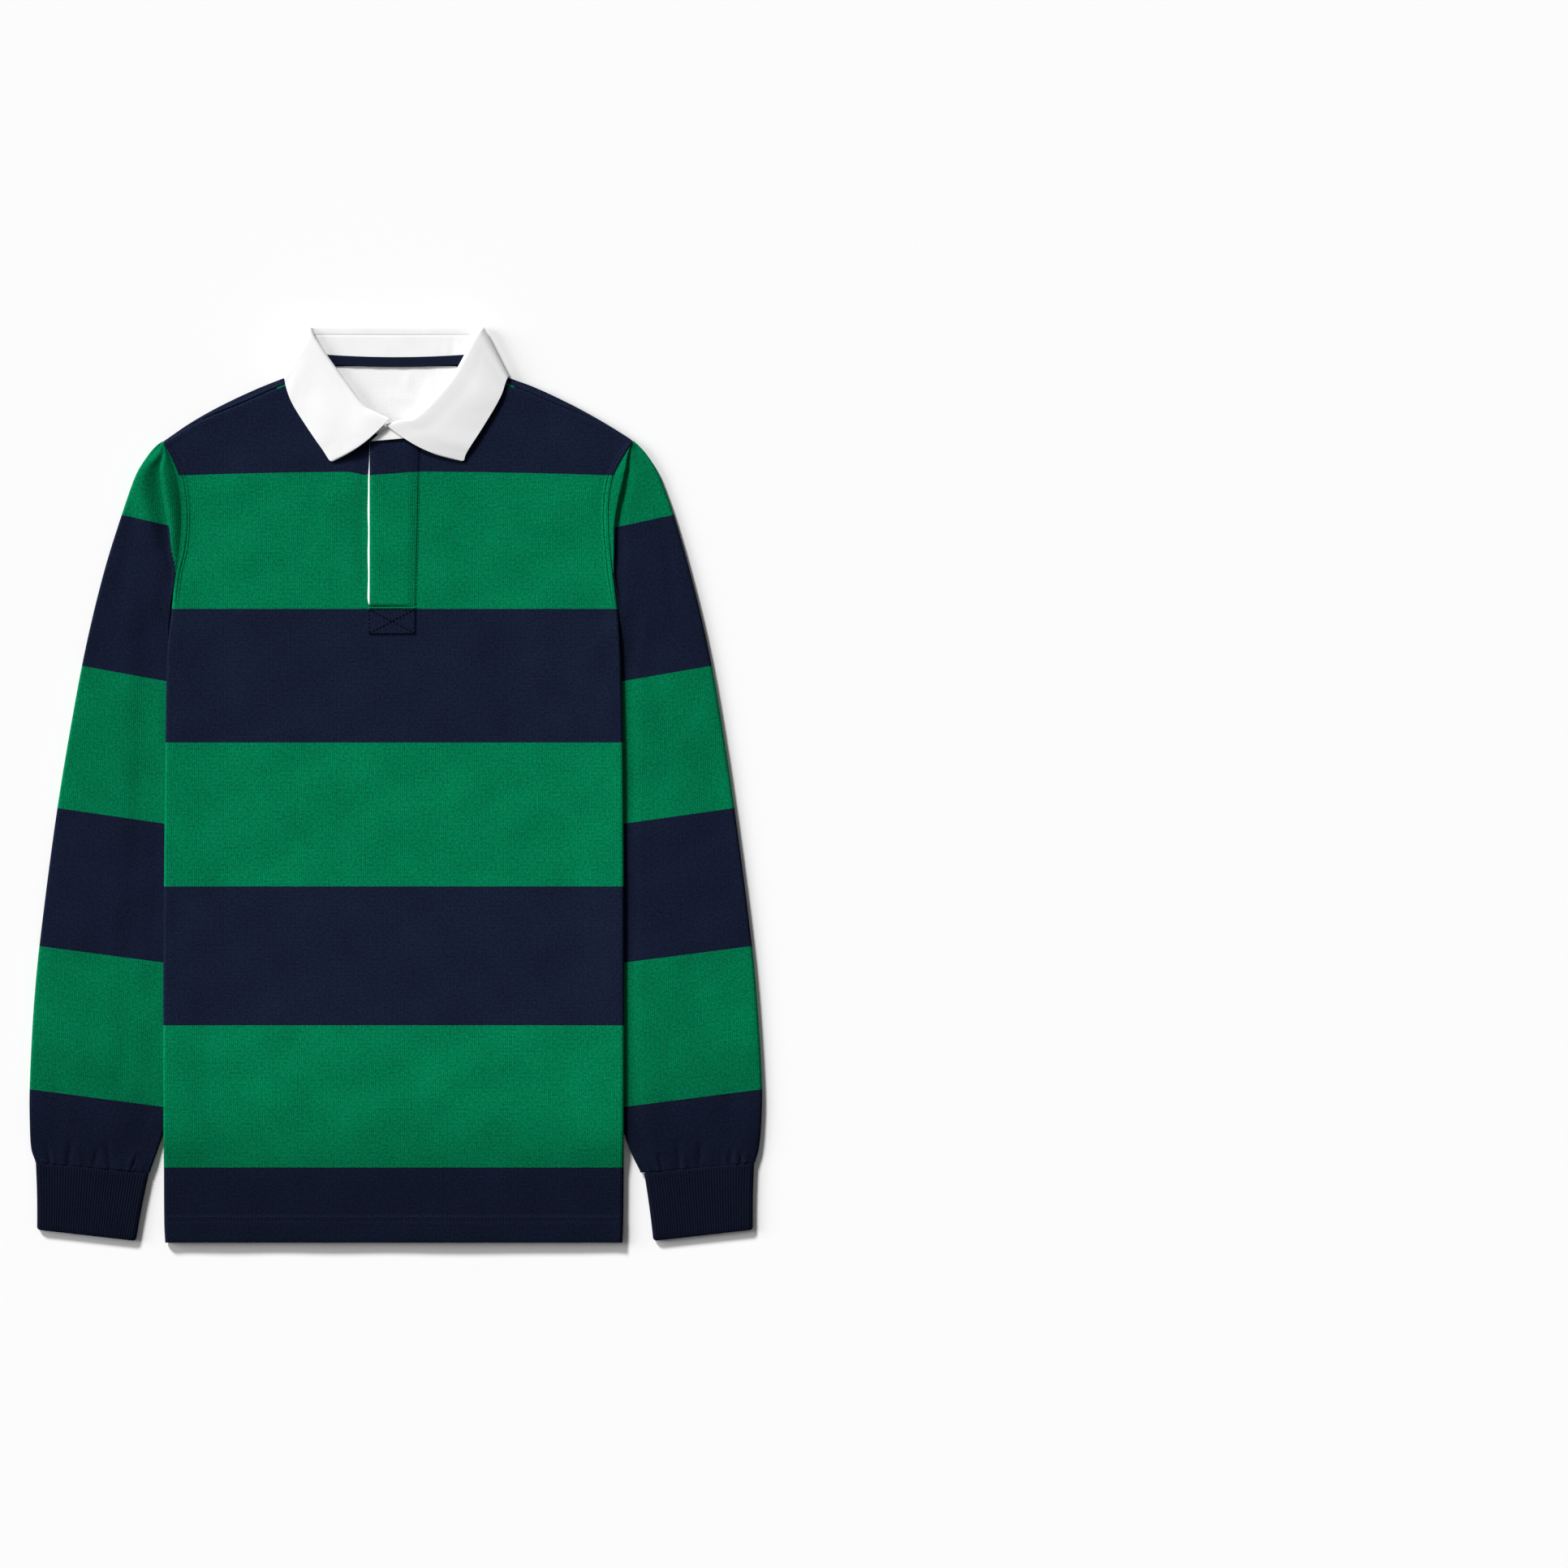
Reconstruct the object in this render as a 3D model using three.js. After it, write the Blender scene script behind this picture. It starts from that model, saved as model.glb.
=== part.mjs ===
// A long-sleeved rugby shirt, laid flat on its back with its front up.
// Millimetres: +X to the right of the shirt as seen from above, +Y towards the collar, +Z up.
// The origin is on the surface that the shirt lies on, under the middle of its outline.
// Left and right are the sides as seen from above, which are the wearer's right and left.
import * as THREE from 'three';
import { mergeVertices } from 'three/addons/utils/BufferGeometryUtils.js';

// Thickness of the cloths
const JERSEY = 1.4;
const TWILL = 1.6;
const TRIM = 1.0;
const SEAM_GAP = 0.3;

// Heights above the surface
const BODY_HEIGHT = 6.2;
const BODY_BACK_OVER_SLEEVE = 3.9;
const BODY_TOP_OVER_SLEEVE = 8.2;
const BACK_OVER_COLLAR = 1.9;
const SLEEVE_HEIGHT = 5.0;
const SLEEVE_UNDER_BODY = 3.6;
const CUFF_HEIGHT = 5.2;

// Body outline
const HEM_Y = -395.2;
const ARMPIT_Y = 150;
const TIP_Y = 295.4;
const NECK_HALF_WIDTH = 70;
const NECK_POINT_Y = 360;
const FRONT_NECK_DROP = 60;
const BACK_NECK_RISE = 4;
const HEM_DEPTH = 23;
const HEM_STEP = 0.5;
const ARMHOLE_FELL = { width: 4.2, height: 0.5 };

const BODY_SIDES = [
  { y: -395.2, left: -198.8, right: 195.3 },
  { y: -380, left: -199.6, right: 196.0 },
  { y: -330, left: -199.9, right: 196.5 },
  { y: -207, left: -200.2, right: 196.7 },
  { y: -88, left: -199.5, right: 196.6 },
  { y: 36, left: -198.2, right: 195.8 },
  { y: 110, left: -196.8, right: 194.0 },
  { y: 150, left: -193.2, right: 191.9 },
];

const ARMHOLES = [
  { y: 150, left: -193.2, right: 191.9 },
  { y: 180, left: -189.4, right: 186.8 },
  { y: 203, left: -184.4, right: 184.4 },
  { y: 225, left: -182.5, right: 182.9 },
  { y: 246, left: -183.1, right: 183.4 },
  { y: 264, left: -186.2, right: 186.6 },
  { y: 276, left: -190.6, right: 192.2 },
  { y: 287, left: -196.0, right: 198.8 },
  { y: 295.4, left: -200.2, right: 204.6 },
];

const SHOULDERS = [
  { across: 70, left: 360, right: 360 },
  { across: 97, left: 349.6, right: 350.2 },
  { across: 120, left: 340.4, right: 341.7 },
  { across: 150, left: 326.4, right: 327.7 },
  { across: 176, left: 311.9, right: 313.6 },
  { across: 200.2, left: 295.4, right: 298.7 },
  { across: 204.6, left: 292.4, right: 295.4 },
];

// Sleeve outline: outer edge against height up the shirt
const SLEEVE_OUTER = [
  { y: 295.4, left: -201.0, right: 205.2 },
  { y: 291.5, left: -206.5, right: 209.7 },
  { y: 284.5, left: -212.8, right: 216.0 },
  { y: 270.5, left: -221.9, right: 225.1 },
  { y: 256.5, left: -227.9, right: 231.0 },
  { y: 231.3, left: -236.6, right: 239.8 },
  { y: 186.5, left: -250.6, right: 252.7 },
  { y: 130.5, left: -264.6, right: 266.4 },
  { y: 74.5, left: -275.8, right: 277.2 },
  { y: -21.4, left: -291.9, right: 291.9 },
  { y: -139.7, left: -307.3, right: 307.0 },
  { y: -198.5, left: -312.6, right: 312.2 },
  { y: -262.9, left: -315.7, right: 315.7 },
  { y: -293.0, left: -315.6, right: 315.0 },
  { y: -314.7, left: -314.3, right: 312.8 },
  { y: -325.0, left: -310.9, right: 309.9 },
];

// Sleeve inner edge, below the armpit: how far it lies under the body's side
const SLEEVE_TUCK = [
  { y: 150, left: -0.8, right: -0.8 },
  { y: 128, left: -0.8, right: -0.8 },
  { y: 95, left: 7, right: 7 },
  { y: -265, left: 7, right: 7 },
  { y: -290, left: 3.0, right: 3.0 },
  { y: -303.5, left: -1.2, right: -1.0 },
  { y: -317.5, left: -6.0, right: -6.0 },
  { y: -334.0, left: -12.0, right: -14.2 },
];

// Fold of the sleeve beside the armhole: how far its crest stands from the seam
const SLEEVE_FOLD = [
  { y: 295.4, left: 1, right: 1 },
  { y: 288, left: 4, right: 4 },
  { y: 275, left: 9, right: 8.7 },
  { y: 235, left: 13, right: 9 },
  { y: 219, left: 14, right: 7.7 },
  { y: 195, left: 8, right: 4 },
  { y: 180, left: 1.4, right: 1.2 },
  { y: 150, left: 1, right: 1 },
];
const FOLD_HEIGHTS = { seam: 6.2, strip: 6.6, crest: 7.2, trough: 4.4 };
const FOLD_WIDTHS = { trough: 4.5, flat: 10 };

// Cuffs: rib-knit tubes, drawn in from the sleeve
const CUFF_TOP = {
  outerX: { left: -309.8, right: 308.3 },
  innerX: { left: -213.4, right: 214.6 },
  outerY: -326.2,
  innerY: -335.2,
};
const CUFF_BOTTOM = {
  outerX: { left: -308.7, right: 307.2 },
  innerX: { left: -224.6, right: 222.5 },
  outerY: -384.3,
  innerY: -393.6,
};
const CUFF_CORNER_START = 0.965;
const CUFF_CORNER = 1.8;
const RIB_PITCH = 2.4;
const RIB_HEIGHT = 0.4;

// Gathers where the sleeve is drawn into the cuff, across the sleeve from outer edge to inner edge
const GATHERS = [
  { across: 0.15, width: 0.030, height: 0.9 },
  { across: 0.27, width: 0.035, height: 0.7 },
  { across: 0.40, width: 0.040, height: 1.0 },
  { across: 0.63, width: 0.035, height: 0.8 },
  { across: 0.80, width: 0.040, height: 0.9 },
];
const GATHER_REACH = 20;

// Collar: one row for each section, from the middle of the back round to the front end.
// roll is the folded edge, fall the free edge and seam the edge sewn to the neck, each as X, Y, Z.
// tilt is the direction that the outer face looks in: -90 down, 0 sideways, 90 up. A row that
// leaves out bend (radius of the fold), bow (swell of the outer edge) or under (1 where the stand
// carries on below the fold) takes the value of COLLAR_PLAIN.
const COLLAR_PLAIN = { bend: 1.8, bow: 0, under: 1 };
const COLLAR_LEFT = [
  { roll: [0, 395.2, 2.6], fall: [0, 352.4, 0.8], seam: [0, 361.8, 4.4], tilt: -90 },
  { roll: [-36, 395.3, 2.6], fall: [-46, 352.4, 0.8], seam: [-35, 362.2, 4.4], tilt: -90 },
  { roll: [-64, 395.3, 2.6], fall: [-84, 352.4, 0.8], seam: [-62, 363.6, 4.4], tilt: -90 },
  { roll: [-69.5, 394.9, 3.3], fall: [-92.5, 352.2, 1.5], seam: [-67.5, 364.0, 5.1], tilt: -60 },
  { roll: [-71.6, 394.2, 5.9], fall: [-95.8, 351.6, 4.6], seam: [-69.8, 364.2, 6.1], tilt: 0 },
  { roll: [-69.4, 392.0, 8.9], fall: [-95.6, 349.6, 7.6], seam: [-68.9, 363.0, 7.2], tilt: 60 },
  { roll: [-65.0, 382.2, 9.5], fall: [-94.4, 343.0, 7.5], seam: [-68.8, 355.0, 7.3], tilt: 90 },
  { roll: [-57.6, 367.6, 9.6], fall: [-90.4, 331.0, 7.4], seam: [-67.9, 340.6, 7.3], tilt: 90 },
  { roll: [-43, 347.6, 10.0], fall: [-83.4, 318.5, 7.4], seam: [-61.8, 325.4, 7.3], tilt: 90 },
  { roll: [-27, 326.6, 11.0], fall: [-70.2, 298.6, 7.4], seam: [-44.2, 309.0, 7.4], tilt: 90 },
  { roll: [-16, 319.8, 11.8], fall: [-62.6, 287.8, 7.4], seam: [-30.0, 302.0, 7.4], tilt: 90,
    bow: 1.5, under: 0.5 },
  { roll: [-4.4, 314.4, 12.4], fall: [-56.4, 279.0, 7.4], seam: [-22.0, 298.0, 7.4], tilt: 90,
    bend: 1.4, bow: 3.4, under: 0 },
];
const COLLAR_RIGHT = [
  { roll: [0, 395.2, 2.6], fall: [0, 352.4, 0.8], seam: [0, 361.8, 4.4], tilt: -90 },
  { roll: [36, 395.3, 2.6], fall: [46, 352.4, 0.8], seam: [35, 362.2, 4.4], tilt: -90 },
  { roll: [65, 395.3, 2.6], fall: [84, 352.4, 0.8], seam: [62, 363.6, 4.4], tilt: -90 },
  { roll: [70.7, 394.9, 3.3], fall: [92.9, 352.2, 1.5], seam: [67.5, 364.0, 5.1], tilt: -60 },
  { roll: [72.0, 394.2, 5.9], fall: [96.4, 351.6, 4.6], seam: [69.8, 364.2, 6.1], tilt: 0 },
  { roll: [70.0, 392.0, 8.9], fall: [96.2, 349.6, 7.6], seam: [68.9, 363.0, 7.2], tilt: 60 },
  { roll: [66.0, 383.0, 9.5], fall: [94.2, 344.0, 7.5], seam: [68.8, 355.4, 7.3], tilt: 90 },
  { roll: [59.8, 370.0, 9.6], fall: [91.2, 335.0, 7.4], seam: [68.2, 341.6, 7.3], tilt: 90 },
  { roll: [47.6, 349.4, 10.0], fall: [84.6, 322.6, 7.4], seam: [64.0, 328.4, 7.3], tilt: 90 },
  { roll: [29.6, 328.4, 10.2], fall: [73.6, 304.6, 7.4], seam: [45.0, 309.6, 7.6], tilt: 90,
    bend: 1.7 },
  { roll: [15.4, 315.4, 10.8], fall: [65.4, 292.0, 7.4], seam: [20.0, 299.6, 9.6], tilt: 90,
    bend: 1.3, bow: 1.5 },
  { roll: [4.6, 313.2, 10.8], fall: [60.6, 284.0, 7.4], seam: [4.0, 297.4, 9.6], tilt: 90,
    bend: 1.1, bow: 3.0 },
  { roll: [-8.4, 309.6, 10.7], fall: [58.1, 279.7, 7.4], seam: [-21.0, 295.2, 9.6], tilt: 90,
    bend: 1.1, bow: 5.0 },
];
const LEFT_STAND_END = 9.5;
const STAND_TOP = 5.6;
const STAND_THICKNESS = 1.4;
// Sections where the collar turns from the back to the front, and what they add to the seam's gap
const TURN = { first: 2, last: 6.5, gap: 1.2 };
const FALL_SHARES = [0.16, 0.33, 0.5, 0.67, 0.84, 1];
const FALL_DROP_POWER = 1.6;

// Placket on the middle of the front
const PLACKET = { left: -23.0, rightTop: 21.4, rightBottom: 17.5, top: 299.0, bottom: 129.0 };
const PLACKET_UNDER = { left: -23.7, right: 17.0, top: 298.4, bottom: 153.0, thickness: 0.8 };
const PLACKET_STEP = { below: 16, ramp: 14 };

// Tape over the back neck seam, and the half-moon below it inside the back
const TAPE = { halfWidth: 60.5, y: 363.6, rise: 2.2, width: 8.4, thickness: 0.8, bottom: 5.5 };
const PATCH = { halfWidth: 80, across: 84, down: 85, y: 356, roundness: 2.7, top: 361.5, ahead: 8 };
const PATCH_SHOULDER = { clear: 16, from: 52, ramp: 12 };

const COLOURS = { navy: 0x161b30, green: 0x007a4b, white: 0xf4f4f5, tape: 0x11192e };

// Small tools for numbers and tables
const lerp = (a, b, t) => a + (b - a) * t;
const clamp01 = (t) => Math.min(1, Math.max(0, t));
const radians = (degrees) => (degrees * Math.PI) / 180;

function smooth(t) {
  const c = clamp01(t);
  return c * c * (3 - 2 * c);
}

// A smooth curve through one column of a table, against its first column
function column(rows, key, name, at) {
  const rising = rows[rows.length - 1][key] > rows[0][key];
  const list = rising ? rows : [...rows].reverse();
  const x = Math.min(list[list.length - 1][key], Math.max(list[0][key], at));
  let i = 0;
  while (i < list.length - 2 && x > list[i + 1][key]) i += 1;
  const slope = (k) => {
    const a = list[Math.max(0, k - 1)];
    const b = list[Math.min(list.length - 1, k + 1)];
    return (b[name] - a[name]) / (b[key] - a[key]);
  };
  const h = list[i + 1][key] - list[i][key];
  const t = (x - list[i][key]) / h;
  const t2 = t * t;
  const t3 = t2 * t;
  return (2 * t3 - 3 * t2 + 1) * list[i][name] + (t3 - 2 * t2 + t) * h * slope(i)
    + (3 * t2 - 2 * t3) * list[i + 1][name] + (t3 - t2) * h * slope(i + 1);
}

// A closed body from an outer and an inner sheet of points, rows by columns.
// seamRows is how many rows, from the first, have their two ends joined into a tube.
function wall(outer, inner, seamRows = 0) {
  const rows = outer.length;
  const columns = outer[0].length;
  const points = [];
  const quads = [];
  for (const sheet of [outer, inner]) {
    for (const row of sheet) {
      for (const p of row) points.push(p.x, p.y, p.z);
    }
  }
  const out = (i, j) => i * columns + j;
  const inn = (i, j) => rows * columns + i * columns + j;
  const quad = (a, b, c, d) => quads.push([a, b, c, d]);
  for (let i = 0; i < rows - 1; i += 1) {
    for (let j = 0; j < columns - 1; j += 1) {
      quad(out(i, j), out(i, j + 1), out(i + 1, j + 1), out(i + 1, j));
      quad(inn(i, j), inn(i + 1, j), inn(i + 1, j + 1), inn(i, j + 1));
    }
    const last = columns - 1;
    if (i < seamRows - 1) {
      quad(out(i, last), out(i, 0), out(i + 1, 0), out(i + 1, last));
      quad(inn(i, last), inn(i + 1, last), inn(i + 1, 0), inn(i, 0));
    } else {
      quad(out(i, 0), out(i + 1, 0), inn(i + 1, 0), inn(i, 0));
      quad(out(i, last), inn(i, last), inn(i + 1, last), out(i + 1, last));
    }
  }
  for (let j = 0; j < columns - 1; j += 1) {
    quad(out(0, j), inn(0, j), inn(0, j + 1), out(0, j + 1));
    quad(out(rows - 1, j), out(rows - 1, j + 1), inn(rows - 1, j + 1), inn(rows - 1, j));
  }
  if (seamRows > 0) {
    const last = columns - 1;
    quad(out(0, last), inn(0, last), inn(0, 0), out(0, 0));
    const top = seamRows - 1;
    quad(out(top, last), out(top, 0), inn(top, 0), inn(top, last));
  }
  return solid(points, quads);
}

const SMALLEST_AREA = 1e-6;
const SAME_POINT = 1e-4;

// Triangles from quads, with empty ones left out and every face turned outwards
function solid(points, quads) {
  const at = (k) => new THREE.Vector3(points[3 * k], points[3 * k + 1], points[3 * k + 2]);
  const triangles = [];
  let volume = 0;
  for (const [a, b, c, d] of quads) {
    const short = at(a).distanceToSquared(at(c)) <= at(b).distanceToSquared(at(d));
    const pair = short ? [[a, b, c], [a, c, d]] : [[a, b, d], [b, c, d]];
    for (const triangle of pair) {
      const [p, q, r] = triangle.map(at);
      const area = q.clone().sub(p).cross(r.clone().sub(p)).length();
      if (area < SMALLEST_AREA) continue;
      volume += p.dot(q.clone().cross(r));
      triangles.push(triangle);
    }
  }
  const index = triangles.flatMap(([a, b, c]) => (volume > 0 ? [a, b, c] : [a, c, b]));
  const geometry = new THREE.BufferGeometry();
  geometry.setAttribute('position', new THREE.Float32BufferAttribute(points, 3));
  geometry.setIndex(index);
  return mergeVertices(geometry, SAME_POINT);
}

// A closed body from a sheet of points at mid thickness
function sheetWall(middle, thickness) {
  const rows = middle.length;
  const columns = middle[0].length;
  const normal = (i, j) => {
    const along = middle[Math.min(rows - 1, i + 1)][j].clone().sub(middle[Math.max(0, i - 1)][j]);
    const across = middle[i][Math.min(columns - 1, j + 1)].clone().sub(middle[i][Math.max(0, j - 1)]);
    return along.cross(across).normalize();
  };
  const moved = (i, j, distance) => middle[i][j].clone().addScaledVector(normal(i, j), distance);
  const sheet = (distance) => middle.map((row, i) => row.map((_, j) => moved(i, j, distance)));
  return wall(sheet(thickness / 2), sheet(-thickness / 2));
}

const group = new THREE.Group();

function piece(name, geometry, colour, roughness = 0.9) {
  geometry.computeVertexNormals();
  const material = new THREE.MeshStandardMaterial({ color: colour, roughness, metalness: 0 });
  const mesh = new THREE.Mesh(geometry, material);
  mesh.name = name;
  group.add(mesh);
}

// Height of the two layers of the body over the surface. The body is lifted where a sleeve is
// tucked under its side, and its back passes over the end of the collar's stand.
const LIFT = { flat: 9, ramp: 15, top: ARMPIT_Y, topRamp: 24, bottom: -336, bottomRamp: 30 };
const COLLAR_RAISE = { start: 328, ramp: 12 };
const FELL_RAMP = 20;
const sideX = (side, y) => (y < ARMPIT_Y ? column(BODY_SIDES, 'y', side, y) : column(ARMHOLES, 'y', side, y));
const sideDistance = (x, y) => (x < 0 ? x - sideX('left', y) : sideX('right', y) - x);

function liftOverSleeve(x, y) {
  const beside = 1 - smooth((sideDistance(x, y) - LIFT.flat) / LIFT.ramp);
  const along = smooth((LIFT.top - y) / LIFT.topRamp) * smooth((y - LIFT.bottom) / LIFT.bottomRamp);
  return beside * along;
}

const raiseOverCollar = (y) => smooth((y - COLLAR_RAISE.start) / COLLAR_RAISE.ramp);

function bodyTop(x, y) {
  const onFell = y > ARMPIT_Y && sideDistance(x, y) < ARMHOLE_FELL.width;
  const fell = onFell ? ARMHOLE_FELL.height * smooth((y - ARMPIT_Y) / FELL_RAMP) : 0;
  const hem = y < HEM_Y + HEM_DEPTH ? HEM_STEP : 0;
  return lerp(BODY_HEIGHT, BODY_TOP_OVER_SLEEVE, liftOverSleeve(x, y)) + fell + hem;
}

function bodyBottom(x, y) {
  return BODY_BACK_OVER_SLEEVE * liftOverSleeve(x, y) + BACK_OVER_COLLAR * raiseOverCollar(y);
}

// Body panels: a sheet between the hem, the two sides with their armholes, and the top edge
const BODY_WIDTH = 396;
const BODY_LENGTH = TIP_Y - HEM_Y;
const EDGE_ANGLES = [0, 30, 60, 90].map(radians);
const MIDDLE_COLUMNS = [9, 16, 24].map((d) => d / BODY_WIDTH);
const NECK_COLUMNS = 8;
const NECK_START = 0.325;
const SHOULDER_COLUMNS = [0.15, 0.24];
const SIDE_CURL_END = 25;
const TOP_CURL = { from: 66, ramp: 4.2 };
const ARMHOLE_ROWS = [0, 8, 18, 32, 50, 70, 90, 108, 122, 133];
const SIDE_ROWS = [-372.7, -371.7, -336, -321, -306, -190, -50, 80, 126, 138];

function bodyColumns() {
  const left = EDGE_ANGLES.map((angle) => ({ edge: 'left', angle }));
  const near = MIDDLE_COLUMNS.map((u) => ({ u }));
  const shoulder = SHOULDER_COLUMNS.map((u) => ({ u }));
  const neck = [];
  for (let k = 0; k <= NECK_COLUMNS; k += 1) {
    neck.push({ u: lerp(NECK_START, 1 - NECK_START, k / NECK_COLUMNS) });
  }
  const mirrored = (list) => [...list].reverse().map(({ u }) => ({ u: 1 - u }));
  const right = [...EDGE_ANGLES].reverse().map((angle) => ({ edge: 'right', angle }));
  return [...left, ...near, ...shoulder, ...neck, ...mirrored(shoulder), ...mirrored(near), ...right];
}

function bodyRows() {
  const heights = [HEM_Y, ...SIDE_ROWS, ...ARMHOLE_ROWS.map((d) => ARMPIT_Y + d)];
  const rows = heights.map((y) => ({ y }));
  const upper = [...EDGE_ANGLES].reverse().map((angle) => ({ edge: 'top', angle }));
  return [...rows, ...upper];
}

function topEdge(u, front) {
  if (u < NECK_START || u > 1 - NECK_START) {
    const side = u < 0.5 ? 'left' : 'right';
    const tip = Math.abs(sideX(side, TIP_Y));
    const across = lerp(tip, NECK_HALF_WIDTH, Math.min(u, 1 - u) / NECK_START);
    const x = side === 'left' ? -across : across;
    return new THREE.Vector2(x, column(SHOULDERS, 'across', side, across));
  }
  const angle = (Math.PI * (u - NECK_START)) / (1 - 2 * NECK_START);
  const drop = front ? -FRONT_NECK_DROP : BACK_NECK_RISE;
  return new THREE.Vector2(-NECK_HALF_WIDTH * Math.cos(angle), NECK_POINT_Y + drop * Math.sin(angle));
}

// Plan position on a body panel: u from left to right, v from hem to top edge
function bodyPlan(u, v, front) {
  const y = lerp(HEM_Y, TIP_Y, v);
  const left = new THREE.Vector2(sideX('left', y), y);
  const right = new THREE.Vector2(sideX('right', y), y);
  const hemLeft = sideX('left', HEM_Y);
  const hemRight = sideX('right', HEM_Y);
  const bottom = new THREE.Vector2(lerp(hemLeft, hemRight, u), HEM_Y);
  const top = topEdge(u, front);
  const leftCorners = lerp(hemLeft, sideX('left', TIP_Y), v);
  const rightCorners = lerp(hemRight, sideX('right', TIP_Y), v);
  const x = lerp(bottom.x, top.x, v) + lerp(left.x, right.x, u) - lerp(leftCorners, rightCorners, u);
  return new THREE.Vector2(x, lerp(bottom.y, top.y, v));
}

function bodyPoint(columnAt, rowAt, front, inset) {
  const side = columnAt.edge;
  const y = rowAt.edge ? TIP_Y : rowAt.y;
  const sideCurl = side ? 1 - smooth((y - ARMPIT_Y) / SIDE_CURL_END) : 0;
  const u0 = side === 'left' ? 0 : 1;
  const edgePlan = bodyPlan(side ? u0 : columnAt.u, (y - HEM_Y) / BODY_LENGTH, front);
  const sideRadius = (bodyTop(edgePlan.x, y) - bodyBottom(edgePlan.x, y)) / 2;
  const cut = (radius, curl, angle) => inset * curl + (radius - inset * curl) * (1 - Math.cos(angle));
  const distance = side ? cut(sideRadius, sideCurl, columnAt.angle) : 0;
  const u = side ? Math.abs(u0 - distance / BODY_WIDTH) : columnAt.u;
  const across = Math.abs(topEdge(u, front).x);
  const topCurl = rowAt.edge ? smooth((across - TOP_CURL.from) / TOP_CURL.ramp) : 0;
  const flatTop = bodyPlan(u, 1, front);
  const topRadius = (bodyTop(flatTop.x, flatTop.y) - bodyBottom(flatTop.x, flatTop.y)) / 2;
  const fromTop = rowAt.edge ? cut(topRadius, topCurl, rowAt.angle) : TIP_Y - y;
  const v = 1 - fromTop / BODY_LENGTH;
  const plan = bodyPlan(u, v, front);
  const high = bodyTop(plan.x, plan.y);
  const low = bodyBottom(plan.x, plan.y);
  const middle = (high + low) / 2;
  const sideKeep = side ? 1 - sideCurl * (1 - Math.sin(columnAt.angle)) : 1;
  const topKeep = rowAt.edge ? 1 - topCurl * (1 - Math.sin(rowAt.angle)) : 1;
  const keep = sideKeep * topKeep;
  const z = front
    ? lerp(middle + SEAM_GAP / 2, high - inset, keep)
    : lerp(middle - SEAM_GAP / 2, low + inset, keep);
  return new THREE.Vector3(plan.x, plan.y, z);
}

function bodyPanel(front) {
  const columns = bodyColumns();
  const rows = bodyRows();
  const sheet = (inset) => rows.map((row) => columns.map((c) => bodyPoint(c, row, front, inset)));
  return wall(sheet(0), sheet(JERSEY));
}

piece('body_back', bodyPanel(false), COLOURS.navy);
piece('body_front', bodyPanel(true), COLOURS.green);

// Sleeves: a tube below the armpit, open along the armhole above it
const SLANT = 13;
const CUFF_SLANT = 9;
const SLANT_RAMP = 60;
const SLEEVE_END_Y = CUFF_TOP.innerY + SEAM_GAP;
const SLEEVE_LOWER_ROWS = [SLEEVE_END_Y, -329, -323, -314, -303, -288, -262, -170, -60, 40, 98, 114, 130];
const SLEEVE_MIDDLE = [0.14, 0.28, 0.4, 0.52, 0.64, 0.76, 0.88];
const SLEEVE_BACK_MIDDLE = [0.33, 0.67];
const BACK_SEAM_STEP = 3;
const TIP_RADIUS = BODY_HEIGHT / 2;
const TIP_SLIT = 0.1;
const TIP_ROUND = { start: 240, ramp: 50 };
const TUBE_FLAT = 5;
const OPEN_RAMP = 25;
const FOLD_RAMP = 12;
const SQUEEZE_WIDTH = 36;
const SQUEEZE_STOP = 1.5;
const GATHER_SINK = 0.3;
const TUCK_PRESS = { top: ARMPIT_Y + 10, topRamp: 30, bottom: -330, bottomRamp: 20, flat: 9, ramp: 14 };

function innerEdgeX(side, y) {
  const outwards = side === 'left' ? -1 : 1;
  if (y >= ARMPIT_Y) return sideX(side, y) + outwards * SEAM_GAP;
  return sideX(side, y) - outwards * column(SLEEVE_TUCK, 'y', side, y);
}

function slantAt(y) {
  const upper = SLANT * smooth((TIP_Y - y) / SLANT_RAMP);
  return lerp(CUFF_SLANT, upper, smooth((y - SLEEVE_END_Y) / SLANT_RAMP));
}

function gathers(t, y) {
  let height = -GATHER_SINK;
  for (const g of GATHERS) height += g.height * Math.exp(-(((t - g.across) / g.width) ** 2));
  return height * (1 - smooth((y - SLEEVE_END_Y) / GATHER_REACH));
}

// Height of a sleeve's front, at a distance from its inner edge
function sleeveTop(side, y, fromInner, width) {
  const press = TUCK_PRESS;
  const besideBody = smooth((press.top - y) / press.topRamp) * smooth((y - press.bottom) / press.bottomRamp);
  const lowered = besideBody * (1 - smooth((fromInner - press.flat) / press.ramp));
  const plain = lerp(SLEEVE_HEIGHT, SLEEVE_UNDER_BODY, lowered) + gathers(1 - fromInner / width, y);
  if (y < ARMPIT_Y) return plain;
  const crest = column(SLEEVE_FOLD, 'y', side, y);
  const stops = [
    { d: 0, z: FOLD_HEIGHTS.seam },
    { d: crest / 2, z: FOLD_HEIGHTS.strip },
    { d: crest, z: FOLD_HEIGHTS.crest },
    { d: crest + FOLD_WIDTHS.trough, z: FOLD_HEIGHTS.trough },
    { d: crest + FOLD_WIDTHS.flat, z: SLEEVE_HEIGHT },
  ];
  const next = stops.findIndex((stop) => stop.d > fromInner);
  let folded = SLEEVE_HEIGHT;
  if (next > 0) {
    const a = stops[next - 1];
    const b = stops[next];
    folded = lerp(a.z, b.z, (fromInner - a.d) / (b.d - a.d));
  }
  return lerp(plain, folded, smooth((y - ARMPIT_Y) / FOLD_RAMP));
}

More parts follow.
